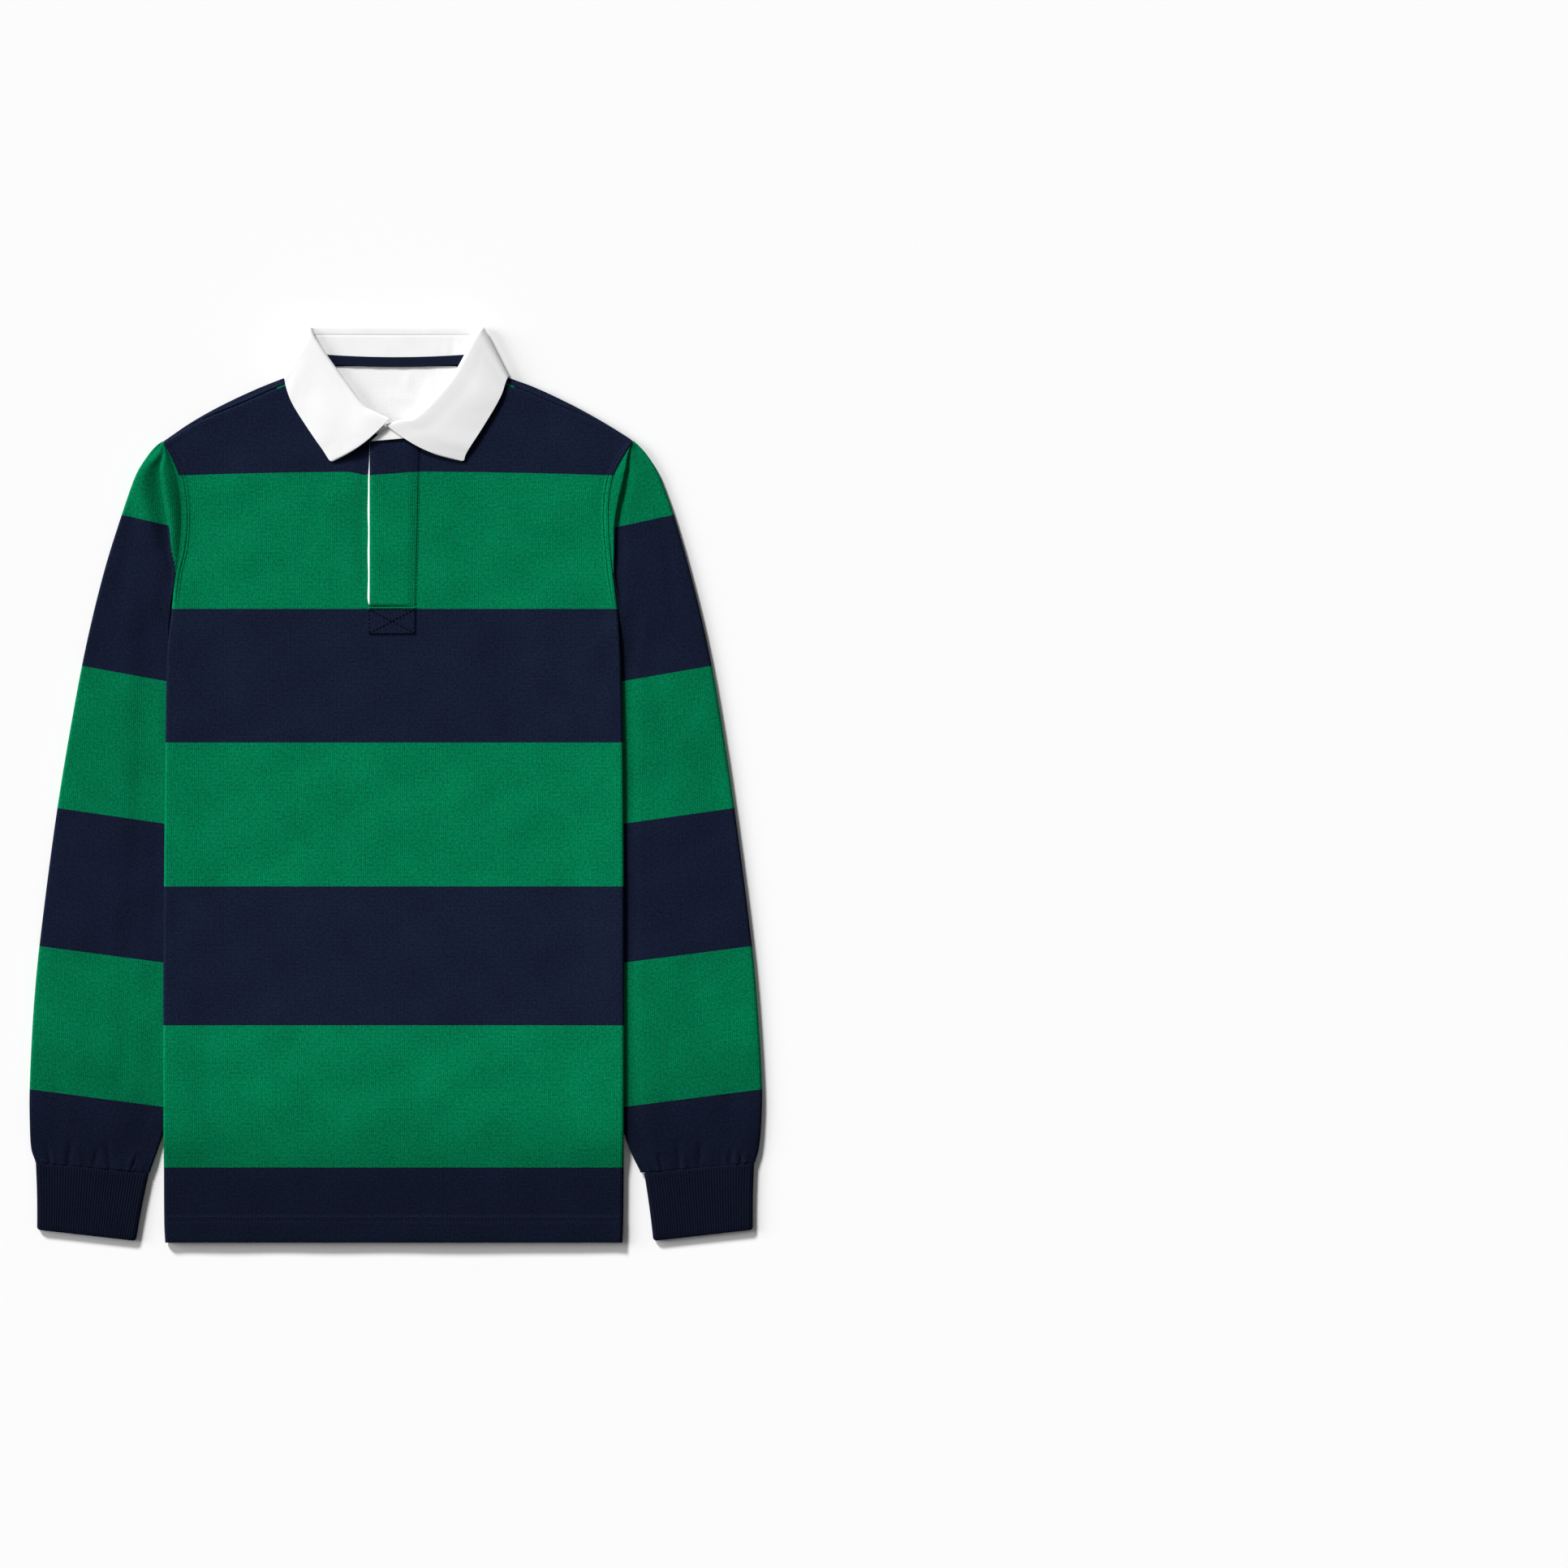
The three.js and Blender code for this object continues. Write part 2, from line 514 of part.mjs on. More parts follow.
// One loop round a sleeve, from the inner edge over the front to the outer edge and back underneath.
// inset moves it inwards, for the inside of the cloth.
function sleeveLoop(side, row, inset) {
  const atTip = row.angle !== undefined;
  const y = atTip ? TIP_Y - inset - (TIP_RADIUS - inset) * (1 - Math.cos(row.angle)) : row.y;
  const tipKeep = atTip ? Math.max(TIP_SLIT, Math.sin(row.angle)) : 1;
  const outerY = y + slantAt(y);
  const outer = new THREE.Vector2(column(SLEEVE_OUTER, 'y', side, outerY), outerY);
  const inner = new THREE.Vector2(innerEdgeX(side, y), y);
  const width = outer.distanceTo(inner);
  const open = smooth((y - ARMPIT_Y) / OPEN_RAMP);
  const crest = column(SLEEVE_FOLD, 'y', side, Math.max(ARMPIT_Y, y));
  const squeeze = Math.min(1, width / SQUEEZE_WIDTH);
  const arc = (radius, angle) => (inset + (radius - inset) * (1 - Math.cos(angle))) * squeeze;
  const foldStops = [0, crest / 2, crest, crest + FOLD_WIDTHS.trough, crest + FOLD_WIDTHS.flat];
  const innerRadius = SLEEVE_UNDER_BODY / 2;
  const tubeStops = EDGE_ANGLES.map((angle) => arc(innerRadius, angle));
  tubeStops.push((innerRadius + TUBE_FLAT) * squeeze);
  const innerKeeps = [...EDGE_ANGLES.map((angle) => lerp(Math.sin(angle), 1, open)), 1];
  const outerRadius = lerp(SLEEVE_HEIGHT / 2, TIP_RADIUS, smooth((y - TIP_ROUND.start) / TIP_ROUND.ramp));
  const loop = [];
  const place = (fromInner, keep, front) => {
    const p = inner.clone().lerp(outer, fromInner / width);
    const high = sleeveTop(side, y, fromInner, width);
    const z = lerp(high / 2, front ? high - inset : inset, keep * tipKeep);
    loop.push(new THREE.Vector3(p.x, p.y, z));
  };
  const foldSqueeze = Math.min(1, squeeze * SQUEEZE_STOP);
  const innerStops = foldStops.map((stop, k) => lerp(tubeStops[k], stop * foldSqueeze, open));
  const middleFrom = innerStops[4];
  const middleTo = width - outerRadius * squeeze;
  innerStops.forEach((d, k) => place(d, innerKeeps[k], true));
  for (const share of SLEEVE_MIDDLE) place(lerp(middleFrom, middleTo, share), 1, true);
  const outerAngles = [...EDGE_ANGLES].reverse();
  for (const angle of outerAngles) place(width - arc(outerRadius, angle), Math.sin(angle), true);
  for (const angle of EDGE_ANGLES.slice(1)) place(width - arc(outerRadius, angle), Math.sin(angle), false);
  for (const share of SLEEVE_BACK_MIDDLE) place(lerp(middleTo, middleFrom, share), 1, false);
  for (let k = EDGE_ANGLES.length - 1; k >= 0; k -= 1) {
    place(lerp(tubeStops[k], BACK_SEAM_STEP * k * squeeze, open), innerKeeps[k], false);
  }
  return loop;
}

function sleeve(side) {
  const rows = [
    ...SLEEVE_LOWER_ROWS.map((y) => ({ y })),
    ...ARMHOLE_ROWS.map((d) => ({ y: ARMPIT_Y + d })),
    ...[...EDGE_ANGLES].reverse().map((angle) => ({ angle })),
  ];
  const sheet = (inset) => rows.map((row) => sleeveLoop(side, row, inset));
  return wall(sheet(0), sheet(JERSEY), SLEEVE_LOWER_ROWS.length + 1);
}

piece('sleeve_left', sleeve('left'), COLOURS.green);
piece('sleeve_right', sleeve('right'), COLOURS.green);

// Cuffs: a tube with raised ribs on the face that shows
function cuffLoop(side, down, inset, drawnIn) {
  const between = (name) => lerp(CUFF_TOP[name], CUFF_BOTTOM[name], down);
  const outwards = side === 'left' ? -1 : 1;
  const outerX = lerp(CUFF_TOP.outerX[side], CUFF_BOTTOM.outerX[side], down) - outwards * drawnIn;
  const innerX = lerp(CUFF_TOP.innerX[side], CUFF_BOTTOM.innerX[side], down) + outwards * drawnIn;
  const outer = new THREE.Vector2(outerX, between('outerY'));
  const inner = new THREE.Vector2(innerX, between('innerY'));
  const width = outer.distanceTo(inner);
  const radius = CUFF_HEIGHT / 2;
  const loop = [];
  const place = (fromInner, keep, front, rib) => {
    const p = inner.clone().lerp(outer, fromInner / width);
    const high = CUFF_HEIGHT + (inset === 0 ? rib : 0);
    loop.push(new THREE.Vector3(p.x, p.y, lerp(CUFF_HEIGHT / 2, front ? high - inset : inset, keep)));
  };
  const arc = (angle) => inset + (radius - inset) * (1 - Math.cos(angle));
  const edge = EDGE_ANGLES.slice(0, 3);
  const topWidth = Math.abs(CUFF_TOP.outerX[side] - CUFF_TOP.innerX[side]) - 2 * radius;
  const ribs = Math.round(topWidth / RIB_PITCH);
  for (const angle of edge) place(arc(angle), Math.sin(angle), true, 0);
  for (let k = 0; k <= 2 * ribs; k += 1) {
    place(lerp(radius, width - radius, k / (2 * ribs)), 1, true, k % 2 === 1 ? RIB_HEIGHT : 0);
  }
  for (const angle of [...edge].reverse()) place(width - arc(angle), Math.sin(angle), true, 0);
  for (const angle of edge.slice(1)) place(width - arc(angle), Math.sin(angle), false, 0);
  for (const share of [1, 0.5, 0]) place(lerp(radius, width - radius, share), 1, false, 0);
  for (const angle of [...edge].reverse()) place(arc(angle), Math.sin(angle), false, 0);
  return loop;
}

function cuff(side) {
  const rows = [
    { down: 0, drawnIn: 0 },
    { down: CUFF_CORNER_START, drawnIn: 0 },
    { down: 1, drawnIn: CUFF_CORNER },
  ];
  const sheet = (inset) => rows.map(({ down, drawnIn }) => cuffLoop(side, down, inset, drawnIn));
  return wall(sheet(0), sheet(JERSEY), rows.length);
}

piece('cuff_left', cuff('left'), COLOURS.navy);
piece('cuff_right', cuff('right'), COLOURS.navy);

// Collar: sections round the neck, each a line from the neck seam up the stand, round the bend
// and down the fall
const COLLAR = [...[...COLLAR_LEFT].reverse(), ...COLLAR_RIGHT.slice(1)].map((row, k) => {
  const flat = { ...COLLAR_PLAIN, ...row, station: k - (COLLAR_LEFT.length - 1) };
  for (const name of ['roll', 'fall', 'seam']) {
    row[name].forEach((value, axis) => {
      flat[name + 'XYZ'[axis]] = value;
    });
  }
  return flat;
});

function collarSection(station) {
  const get = (name) => column(COLLAR, 'station', name, station);
  const point = (name) => new THREE.Vector3(get(`${name}X`), get(`${name}Y`), get(`${name}Z`));
  const roll = point('roll');
  const fall = point('fall');
  const seam = point('seam');
  const ahead = roll.clone().sub(fall.clone().add(seam).multiplyScalar(0.5)).setZ(0).normalize();
  const sideways = new THREE.Vector3(ahead.y, -ahead.x, 0).multiplyScalar(station < 0 ? -1 : 1);
  const tilt = radians(get('tilt'));
  const out = sideways.multiplyScalar(Math.cos(tilt)).setZ(Math.sin(tilt));
  const bend = get('bend');
  const centre = roll.clone().addScaledVector(ahead, -(bend + TWILL / 2));
  const round = Math.abs(station);
  const turning = smooth(round - TURN.first) * (1 - smooth(round - TURN.last));
  const standGap = SEAM_GAP + TURN.gap * turning;
  return { centre, fall, seam, ahead, out, bend, standGap, bow: get('bow'), under: clamp01(get('under')) };
}

const onBend = (s, angle) => s.centre.clone()
  .addScaledVector(s.out, s.bend * Math.sin(angle))
  .addScaledVector(s.ahead, s.bend * Math.cos(angle));

function collarFallRow(station) {
  const s = collarSection(station);
  const row = [];
  const standEnd = onBend(s, -Math.PI / 2);
  const inwards = s.seam.clone().sub(standEnd).normalize();
  row.push(standEnd.clone().addScaledVector(inwards, STAND_TOP));
  for (const degrees of [-90, -45, 0, 45, 90]) row.push(onBend(s, radians(degrees)));
  if (s.under < 1) {
    // near its front end the fall is one layer, without the turned stand below it
    const start = onBend(s, radians(lerp(-15, -90, s.under)));
    row[0] = start.clone().addScaledVector(inwards, STAND_TOP * s.under);
    for (let k = 1; k <= 4; k += 1) {
      row[k] = onBend(s, radians(lerp(lerp(-5, -90, s.under), 45, (k - 1) / 3)));
    }
  }
  const from = onBend(s, Math.PI / 2);
  const line = s.fall.clone().sub(from);
  const beside = new THREE.Vector3(line.y, -line.x, 0).normalize();
  if (beside.y > 0) beside.negate();
  for (const share of FALL_SHARES) {
    const p = from.clone().lerp(s.fall, share);
    p.z = lerp(from.z, s.fall.z, share ** FALL_DROP_POWER);
    row.push(p.addScaledVector(beside, s.bow * Math.sin(Math.PI * share)));
  }
  return row;
}

function collarStandRow(station) {
  const s = collarSection(station);
  const top = onBend(s, -Math.PI / 2);
  const inwards = s.seam.clone().sub(top).normalize();
  const from = top.addScaledVector(inwards, STAND_TOP + s.standGap);
  return [0, 0.33, 0.67, 1].map((share) => from.clone().lerp(s.seam, share));
}

function collarStations(first, last) {
  const stations = [];
  for (let k = Math.ceil(first); k <= last; k += 1) {
    stations.push(k);
    const turning = Math.abs(k + 0.5) > TURN.first && Math.abs(k + 0.5) < TURN.last - 0.5;
    if (turning && k < last) stations.push(k + 0.5);
  }
  return [...(first < stations[0] ? [first] : []), ...stations];
}

const LAST_LEFT = -(COLLAR_LEFT.length - 1);
const LAST_RIGHT = COLLAR_RIGHT.length - 1;
const standRows = collarStations(-LEFT_STAND_END, LAST_RIGHT).map(collarStandRow);
const fallRows = collarStations(LAST_LEFT, LAST_RIGHT).map(collarFallRow);
piece('collar_stand', sheetWall(standRows, STAND_THICKNESS), COLOURS.white);
piece('collar_fall', sheetWall(fallRows, TWILL), COLOURS.white);

// A flat strip that lies on a surface: bottom and top sheets over the same plan points
function layer(rows, bottomAt, thickness) {
  const sheet = (rise) => rows.map((row) => row.map((p) => new THREE.Vector3(p.x, p.y, bottomAt(p) + rise)));
  return wall(sheet(thickness), sheet(0));
}

function stripRows(topLeft, topRight, bottomLeft, bottomRight, down, across) {
  const rows = [];
  for (const v of down) {
    const left = topLeft.clone().lerp(bottomLeft, v);
    const right = topRight.clone().lerp(bottomRight, v);
    rows.push(across.map((u) => left.clone().lerp(right, u)));
  }
  return rows;
}

const underRows = stripRows(
  new THREE.Vector2(PLACKET_UNDER.left, PLACKET_UNDER.top),
  new THREE.Vector2(PLACKET_UNDER.right, PLACKET_UNDER.top),
  new THREE.Vector2(PLACKET_UNDER.left, PLACKET_UNDER.bottom),
  new THREE.Vector2(PLACKET_UNDER.right, PLACKET_UNDER.bottom),
  [0, 0.5, 1],
  [0, 0.5, 1],
);
const onFront = (p) => bodyTop(p.x, p.y) + SEAM_GAP;
piece('placket_under', layer(underRows, onFront, PLACKET_UNDER.thickness), COLOURS.white);

const placketRows = stripRows(
  new THREE.Vector2(PLACKET.left, PLACKET.top),
  new THREE.Vector2(PLACKET.rightTop, PLACKET.top),
  new THREE.Vector2(PLACKET.left, PLACKET.bottom),
  new THREE.Vector2(PLACKET.rightBottom, PLACKET.bottom),
  [0, 0.25, 0.5, 0.75, 0.86, 0.93, 1],
  [0, 0.12, 0.5, 0.88, 1],
);
const placketFade = (p) => smooth((p.y - PLACKET_UNDER.bottom + PLACKET_STEP.below) / PLACKET_STEP.ramp);
const onPlacket = (p) => onFront(p) + (PLACKET_UNDER.thickness + SEAM_GAP) * placketFade(p);
piece('placket', layer(placketRows, onPlacket, TRIM), COLOURS.green);

// Neck tape and half-moon, seen through the neck
const TAPE_COLUMNS = 12;
const tapeRows = [-0.5, 0.5].map((v) => {
  const row = [];
  for (let k = 0; k <= TAPE_COLUMNS; k += 1) {
    const x = lerp(-TAPE.halfWidth, TAPE.halfWidth, k / TAPE_COLUMNS);
    row.push(new THREE.Vector2(x, TAPE.y + TAPE.rise * (x / TAPE.halfWidth) ** 2 + v * TAPE.width));
  }
  return row;
});
piece('neck_tape', layer(tapeRows, () => TAPE.bottom, TAPE.thickness), COLOURS.tape);

function patchEdges(x) {
  const shoulder = column(SHOULDERS, 'across', 'left', Math.max(NECK_HALF_WIDTH, Math.abs(x)));
  const drop = PATCH_SHOULDER.clear * smooth((Math.abs(x) - PATCH_SHOULDER.from) / PATCH_SHOULDER.ramp);
  const top = Math.min(PATCH.top, shoulder - drop);
  const rest = 1 - Math.abs(x / PATCH.across) ** PATCH.roundness;
  return { top, bottom: PATCH.y - PATCH.down * rest ** (1 / PATCH.roundness) };
}

const PATCH_COLUMNS = 16;
const patchColumns = [];
for (let k = 0; k <= PATCH_COLUMNS; k += 1) {
  patchColumns.push(-PATCH.halfWidth * Math.cos((Math.PI * k) / PATCH_COLUMNS));
}
const patchRows = [0, 0.07, 0.16, 0.3, 0.6, 1].map((v) => patchColumns.map((x) => {
  const { top, bottom } = patchEdges(x);
  return new THREE.Vector2(x, lerp(top, bottom, v));
}));
const insideBack = (p) => BACK_OVER_COLLAR * raiseOverCollar(p.y + PATCH.ahead) + JERSEY + SEAM_GAP;
piece('neck_patch', layer(patchRows, insideBack, TRIM), COLOURS.white);

export default group;
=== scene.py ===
# %% [markdown]
# # A rugby shirt, laid flat on its back
#
# The shirt is cloth all over: a front and a back panel sewn at the sides and shoulders, two
# sleeves, two ribbed cuffs, a turned-down collar on a stand, and a placket with a white one below
# it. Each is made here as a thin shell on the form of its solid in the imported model, with finer
# columns and rows, so that folds, felled seams and the rolled collar are real shape. All sizes in
# the tables are millimetres, because that is how a pattern is cut, and MM turns them into metres.

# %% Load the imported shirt
import math

import bpy
import numpy as np
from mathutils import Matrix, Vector


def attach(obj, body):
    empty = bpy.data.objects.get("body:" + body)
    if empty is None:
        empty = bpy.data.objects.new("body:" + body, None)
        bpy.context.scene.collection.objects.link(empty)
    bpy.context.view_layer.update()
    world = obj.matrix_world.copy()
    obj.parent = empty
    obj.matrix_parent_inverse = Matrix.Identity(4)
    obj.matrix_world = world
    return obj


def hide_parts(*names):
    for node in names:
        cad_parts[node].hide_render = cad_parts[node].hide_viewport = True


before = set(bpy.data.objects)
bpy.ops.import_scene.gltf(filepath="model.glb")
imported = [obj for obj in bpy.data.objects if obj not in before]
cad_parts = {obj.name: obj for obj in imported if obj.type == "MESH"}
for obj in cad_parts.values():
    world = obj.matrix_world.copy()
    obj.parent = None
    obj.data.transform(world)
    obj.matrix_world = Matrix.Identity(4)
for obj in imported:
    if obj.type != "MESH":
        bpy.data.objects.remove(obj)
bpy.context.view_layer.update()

MM = 0.001
print("nodes:", sorted(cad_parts))

# %% [markdown]
# ## Camera, light and floor
#
# The shirt is seen from straight above. A long lens far away shows it without perspective, and
# the camera stands beside the middle of the shirt, because the picture has room on the right.
# A sun lamp, low at the upper left, throws the short shadow that tells how thick the cloth is. A
# weaker and very wide one comes from the left, so that folds that run up and down show too. A
# pale world fills the shadows.

# %% Camera, sun, world and floor
CAMERA_X = 0.3346
CAMERA_HEIGHT = 6.01
CAMERA_LENS = 160.0
SUNS = (
    {"direction": (0.97, -1.52, -1.0), "strength": 4.15, "angle": 11.0},
    {"direction": (1.8, -0.4, -0.85), "strength": 1.95, "angle": 32.0},
)
WORLD_STRENGTH = 0.15

scene = bpy.context.scene
bpy.ops.object.select_all(action="DESELECT")
bpy.ops.object.camera_add(location=(CAMERA_X, 0.0, CAMERA_HEIGHT), rotation=(0.0, 0.0, 0.0))
camera = bpy.context.object
camera.data.lens = CAMERA_LENS
scene.camera = camera

for row in SUNS:
    bpy.ops.object.light_add(type="SUN", location=(-2.0, 3.0, 2.0))
    sun = bpy.context.object
    sun.rotation_mode = "QUATERNION"
    sun.rotation_quaternion = Vector(row["direction"]).to_track_quat("-Z", "Y")
    sun.data.energy = row["strength"]
    sun.data.angle = math.radians(row["angle"])

world = bpy.data.worlds.new("pale room")
world.use_nodes = True
world.node_tree.nodes["Background"].inputs["Color"].default_value = (1.0, 1.0, 1.0, 1.0)
world.node_tree.nodes["Background"].inputs["Strength"].default_value = WORLD_STRENGTH
scene.world = world
scene.view_settings.view_transform = "Standard"

bpy.ops.mesh.primitive_plane_add(size=12.0, location=(0.0, 0.0, -0.0004))
floor = bpy.context.object
floor.name = "floor"
floor_material = bpy.data.materials.new("pale floor")
floor_material.use_nodes = True
floor_shader = floor_material.node_tree.nodes["Principled BSDF"]
floor_shader.inputs["Base Color"].default_value = (0.93, 0.93, 0.93, 1.0)
floor_shader.inputs["Roughness"].default_value = 0.9
floor_shader.inputs["Specular IOR Level"].default_value = 0.0
floor.data.materials.append(floor_material)
print("camera", tuple(round(x, 3) for x in camera.location), "lens", CAMERA_LENS)

# %% [markdown]
# ## Node groups: the knit, the hoops, the painted shade and the twill
#
# Four effects are shared by several cloths, so each is a node group with named sockets. Knit
# jersey is rows of small loops, about 1.2 mm wide and 0.9 mm tall, with a soft mottle where the
# yarn takes the dye unevenly. Hoops are bands of colour at given heights up the cloth. The painted
# shade darkens the cloth evenly between two heights, standing in for light that falls off towards
# the hem. Twill is a fine diagonal rib. All read a UV map called cloth, which holds metres along
# and up the cloth, so the pattern follows each piece round its folds.

# %% Helpers for node trees
def new_group(name, inputs, outputs):
    group = bpy.data.node_groups.new(name, "ShaderNodeTree")
    for label, kind, value in inputs:
        socket = group.interface.new_socket(name=label, in_out="INPUT", socket_type=kind)
        if value is not None:
            socket.default_value = value
    for label, kind in outputs:
        group.interface.new_socket(name=label, in_out="OUTPUT", socket_type=kind)
    start = group.nodes.new("NodeGroupInput")
    end = group.nodes.new("NodeGroupOutput")
    return group, start, end


def feed(tree, target, value):
    if isinstance(value, bpy.types.NodeSocket):
        tree.links.new(value, target)
    else:
        target.default_value = value


def maths(tree, operation, a, b=0.0):
    node = tree.nodes.new("ShaderNodeMath")
    node.operation = operation
    feed(tree, node.inputs[0], a)
    feed(tree, node.inputs[1], b)
    return node.outputs[0]


def noise(tree, vector, scale, detail=2.0):
    node = tree.nodes.new("ShaderNodeTexNoise")
    tree.links.new(vector, node.inputs["Vector"])
    node.inputs["Scale"].default_value = scale
    node.inputs["Detail"].default_value = detail
    return node.outputs["Fac"]


def spread(tree, value, low, high):
    node = tree.nodes.new("ShaderNodeMapRange")
    node.inputs["From Min"].default_value = 0.3
    node.inputs["From Max"].default_value = 0.7
    feed(tree, node.inputs["Value"], value)
    feed(tree, node.inputs["To Min"], low)
    feed(tree, node.inputs["To Max"], high)
    return node.outputs["Result"]


def along_and_up(tree, cloth):
    """The two lengths that the UV map holds, in metres."""
    split = tree.nodes.new("ShaderNodeSeparateXYZ")
    tree.links.new(cloth, split.inputs[0])
    return split.outputs[0], split.outputs[1]


def waves(tree, length, pitch):
    turns = maths(tree, "DIVIDE", maths(tree, "MULTIPLY", length, TURN), pitch)
    return maths(tree, "SINE", turns)


def weighted(tree, a, share_a, b, share_b):
    return maths(tree, "ADD", maths(tree, "MULTIPLY", a, share_a), maths(tree, "MULTIPLY", b, share_b))


FLOAT = "NodeSocketFloat"
COLOUR = "NodeSocketColor"
VECTOR = "NodeSocketVector"
TURN = 2 * math.pi


# %% The knit group
def knit_group():
    group, start, end = new_group(
        "knit",
        [
            ("Cloth", VECTOR, None), ("Wale", FLOAT, 0.0012), ("Course", FLOAT, 0.0009),
            ("Mottle", FLOAT, 0.1),
        ],
        [("Height", FLOAT), ("Tone", FLOAT)],
    )
    cloth = start.outputs["Cloth"]
    along, up = along_and_up(group, cloth)
    wale = waves(group, along, start.outputs["Wale"])
    course = waves(group, up, start.outputs["Course"])
    loops = weighted(group, wale, 0.3, course, 0.2)
    fuzz = noise(group, cloth, 800.0, 3.0)
    group.links.new(maths(group, "ADD", loops, fuzz), end.inputs["Height"])
    broad = noise(group, cloth, 30.0, 3.0)
    fine = noise(group, cloth, 480.0, 2.0)
    both = weighted(group, broad, 0.22, fine, 0.78)
    low = maths(group, "SUBTRACT", 1.0, start.outputs["Mottle"])
    high = maths(group, "ADD", 1.0, start.outputs["Mottle"])
    group.links.new(spread(group, both, low, high), end.inputs["Tone"])
    return group


KNIT = knit_group()
print("group", KNIT.name, "with", len(KNIT.nodes), "nodes")


# %% The hoops group
HOOP_EDGES = 6


def hoops_group():
    inputs = [
        ("Cloth", VECTOR, None), ("First", COLOUR, None), ("Second", COLOUR, None), ("Step", FLOAT, 0.0004),
    ]
    inputs += [("Edge %d" % k, FLOAT, 0.0) for k in range(1, HOOP_EDGES + 1)]
    group, start, end = new_group("hoops", inputs, [("Colour", COLOUR)])
    up = along_and_up(group, start.outputs["Cloth"])[1]
    ripple = noise(group, start.outputs["Cloth"], 700.0, 1.0)
    shift = maths(group, "MULTIPLY", maths(group, "SUBTRACT", ripple, 0.5), start.outputs["Step"])
    height = maths(group, "ADD", up, shift)
    crossed = 0.0
    for k in range(1, HOOP_EDGES + 1):
        above = maths(group, "GREATER_THAN", height, start.outputs["Edge %d" % k])
        crossed = maths(group, "ADD", above, crossed)
    odd = maths(group, "MODULO", crossed, 2.0)
    mix = group.nodes.new("ShaderNodeMix")
    mix.data_type = "RGBA"
    group.links.new(odd, mix.inputs["Factor"])
    group.links.new(start.outputs["First"], mix.inputs[6])
    group.links.new(start.outputs["Second"], mix.inputs[7])
    group.links.new(mix.outputs[2], end.inputs["Colour"])
    return group


HOOPS = hoops_group()
print("group", HOOPS.name, "with", len(HOOPS.nodes), "nodes")


# %% The painted shade group
PAINTED_SHADE_RANGE = (("From Min", "End"), ("From Max", "Start"), ("To Min", "Low"), ("To Max", "High"))


# The node group called depth is painted shade: it darkens the cloth from Start down to End, where the light
# falls off towards the hem.
def painted_shade_group():
    inputs = [("Cloth", VECTOR, None)]
    inputs += [(label, FLOAT, 1.0) for label in ("Tone", "Start", "End", "High", "Low")]
    group, start, end = new_group("depth", inputs, [("Tone", FLOAT)])
    fall = group.nodes.new("ShaderNodeMapRange")
    feed(group, fall.inputs["Value"], along_and_up(group, start.outputs["Cloth"])[1])
    for socket, label in PAINTED_SHADE_RANGE:
        feed(group, fall.inputs[socket], start.outputs[label])
    tone = maths(group, "MULTIPLY", start.outputs["Tone"], fall.outputs["Result"])
    group.links.new(tone, end.inputs["Tone"])
    return group


PAINTED_SHADE = painted_shade_group()
print("group", PAINTED_SHADE.name, "with", len(PAINTED_SHADE.nodes), "nodes")


# %% The twill group
def twill_group():
    group, start, end = new_group(
        "twill",
        [("Cloth", VECTOR, None), ("Pitch", FLOAT, 0.0007)],
        [("Height", FLOAT), ("Tone", FLOAT)],
    )
    cloth = start.outputs["Cloth"]
    rib = waves(group, maths(group, "ADD", *along_and_up(group, cloth)), start.outputs["Pitch"])
    yarn = noise(group, cloth, 1800.0, 2.0)
    height = maths(group, "ADD", maths(group, "MULTIPLY", rib, 0.3), yarn)
    group.links.new(height, end.inputs["Height"])
    broad = noise(group, cloth, 40.0, 2.0)
    group.links.new(spread(group, broad, 0.975, 1.02), end.inputs["Tone"])
    return group


TWILL_WEAVE = twill_group()
print("group", TWILL_WEAVE.name, "with", len(TWILL_WEAVE.nodes), "nodes")

# %% [markdown]
# ## Cloth materials
#
# Cotton scatters light and has a faint halo of fibre ends, which is the shader's sheen. The body
# and the sleeves are the same cloth, but their hoops are cut at different heights, so each has
# its own material with its own edges. Thread is dyed to match: a little lighter than the navy
# and darker than the green, and nearly black for the box under the placket. The navy of the cuffs'
# rib is darker than the jersey's: painted shade, where the light falls off towards the cuffs. The
# jersey has painted shade too: it darkens towards the hem and the cuffs, and the sleeves are a
# little darker than the body, where the light is weaker.

# %% Colours and hoop edges
GREEN = (0.0004, 0.165, 0.067, 1.0)
NAVY = (0.0077, 0.0116, 0.0292, 1.0)
# A darker navy than the jersey's: painted shade where the light falls off towards the cuffs.
SHADED_RIB_NAVY = (0.0046, 0.0064, 0.0158, 1.0)
WHITE = (0.86, 0.86, 0.865, 1.0)
THREAD_GREEN = (0.0004, 0.100, 0.040, 1.0)
THREAD_NAVY = (0.023, 0.030, 0.054, 1.0)
THREAD_DARK = (0.0012, 0.0018, 0.0055, 1.0)
THREAD_DEEP_GREEN = (0.0003, 0.045, 0.020, 1.0)
TAPE_NAVY = (0.0065, 0.010, 0.026, 1.0)
BODY_HOOPS = (269.2, 150.9, 35.7, -88.2, -207.9, -330.4)
SLEEVE_HOOPS = (900.0, 220.0, 87.2, -35.4, -155.0, -279.0)
# Painted shade on the jersey: full tone above start, fading to low at end. The sleeves' lower high makes
# them a little darker than the body.
BODY_PAINTED_SHADE = {"start": -268.0, "end": -345.0, "high": 1.05, "low": 0.66}
SLEEVE_PAINTED_SHADE = {"start": -228.0, "end": -315.0, "high": 0.93, "low": 0.66}


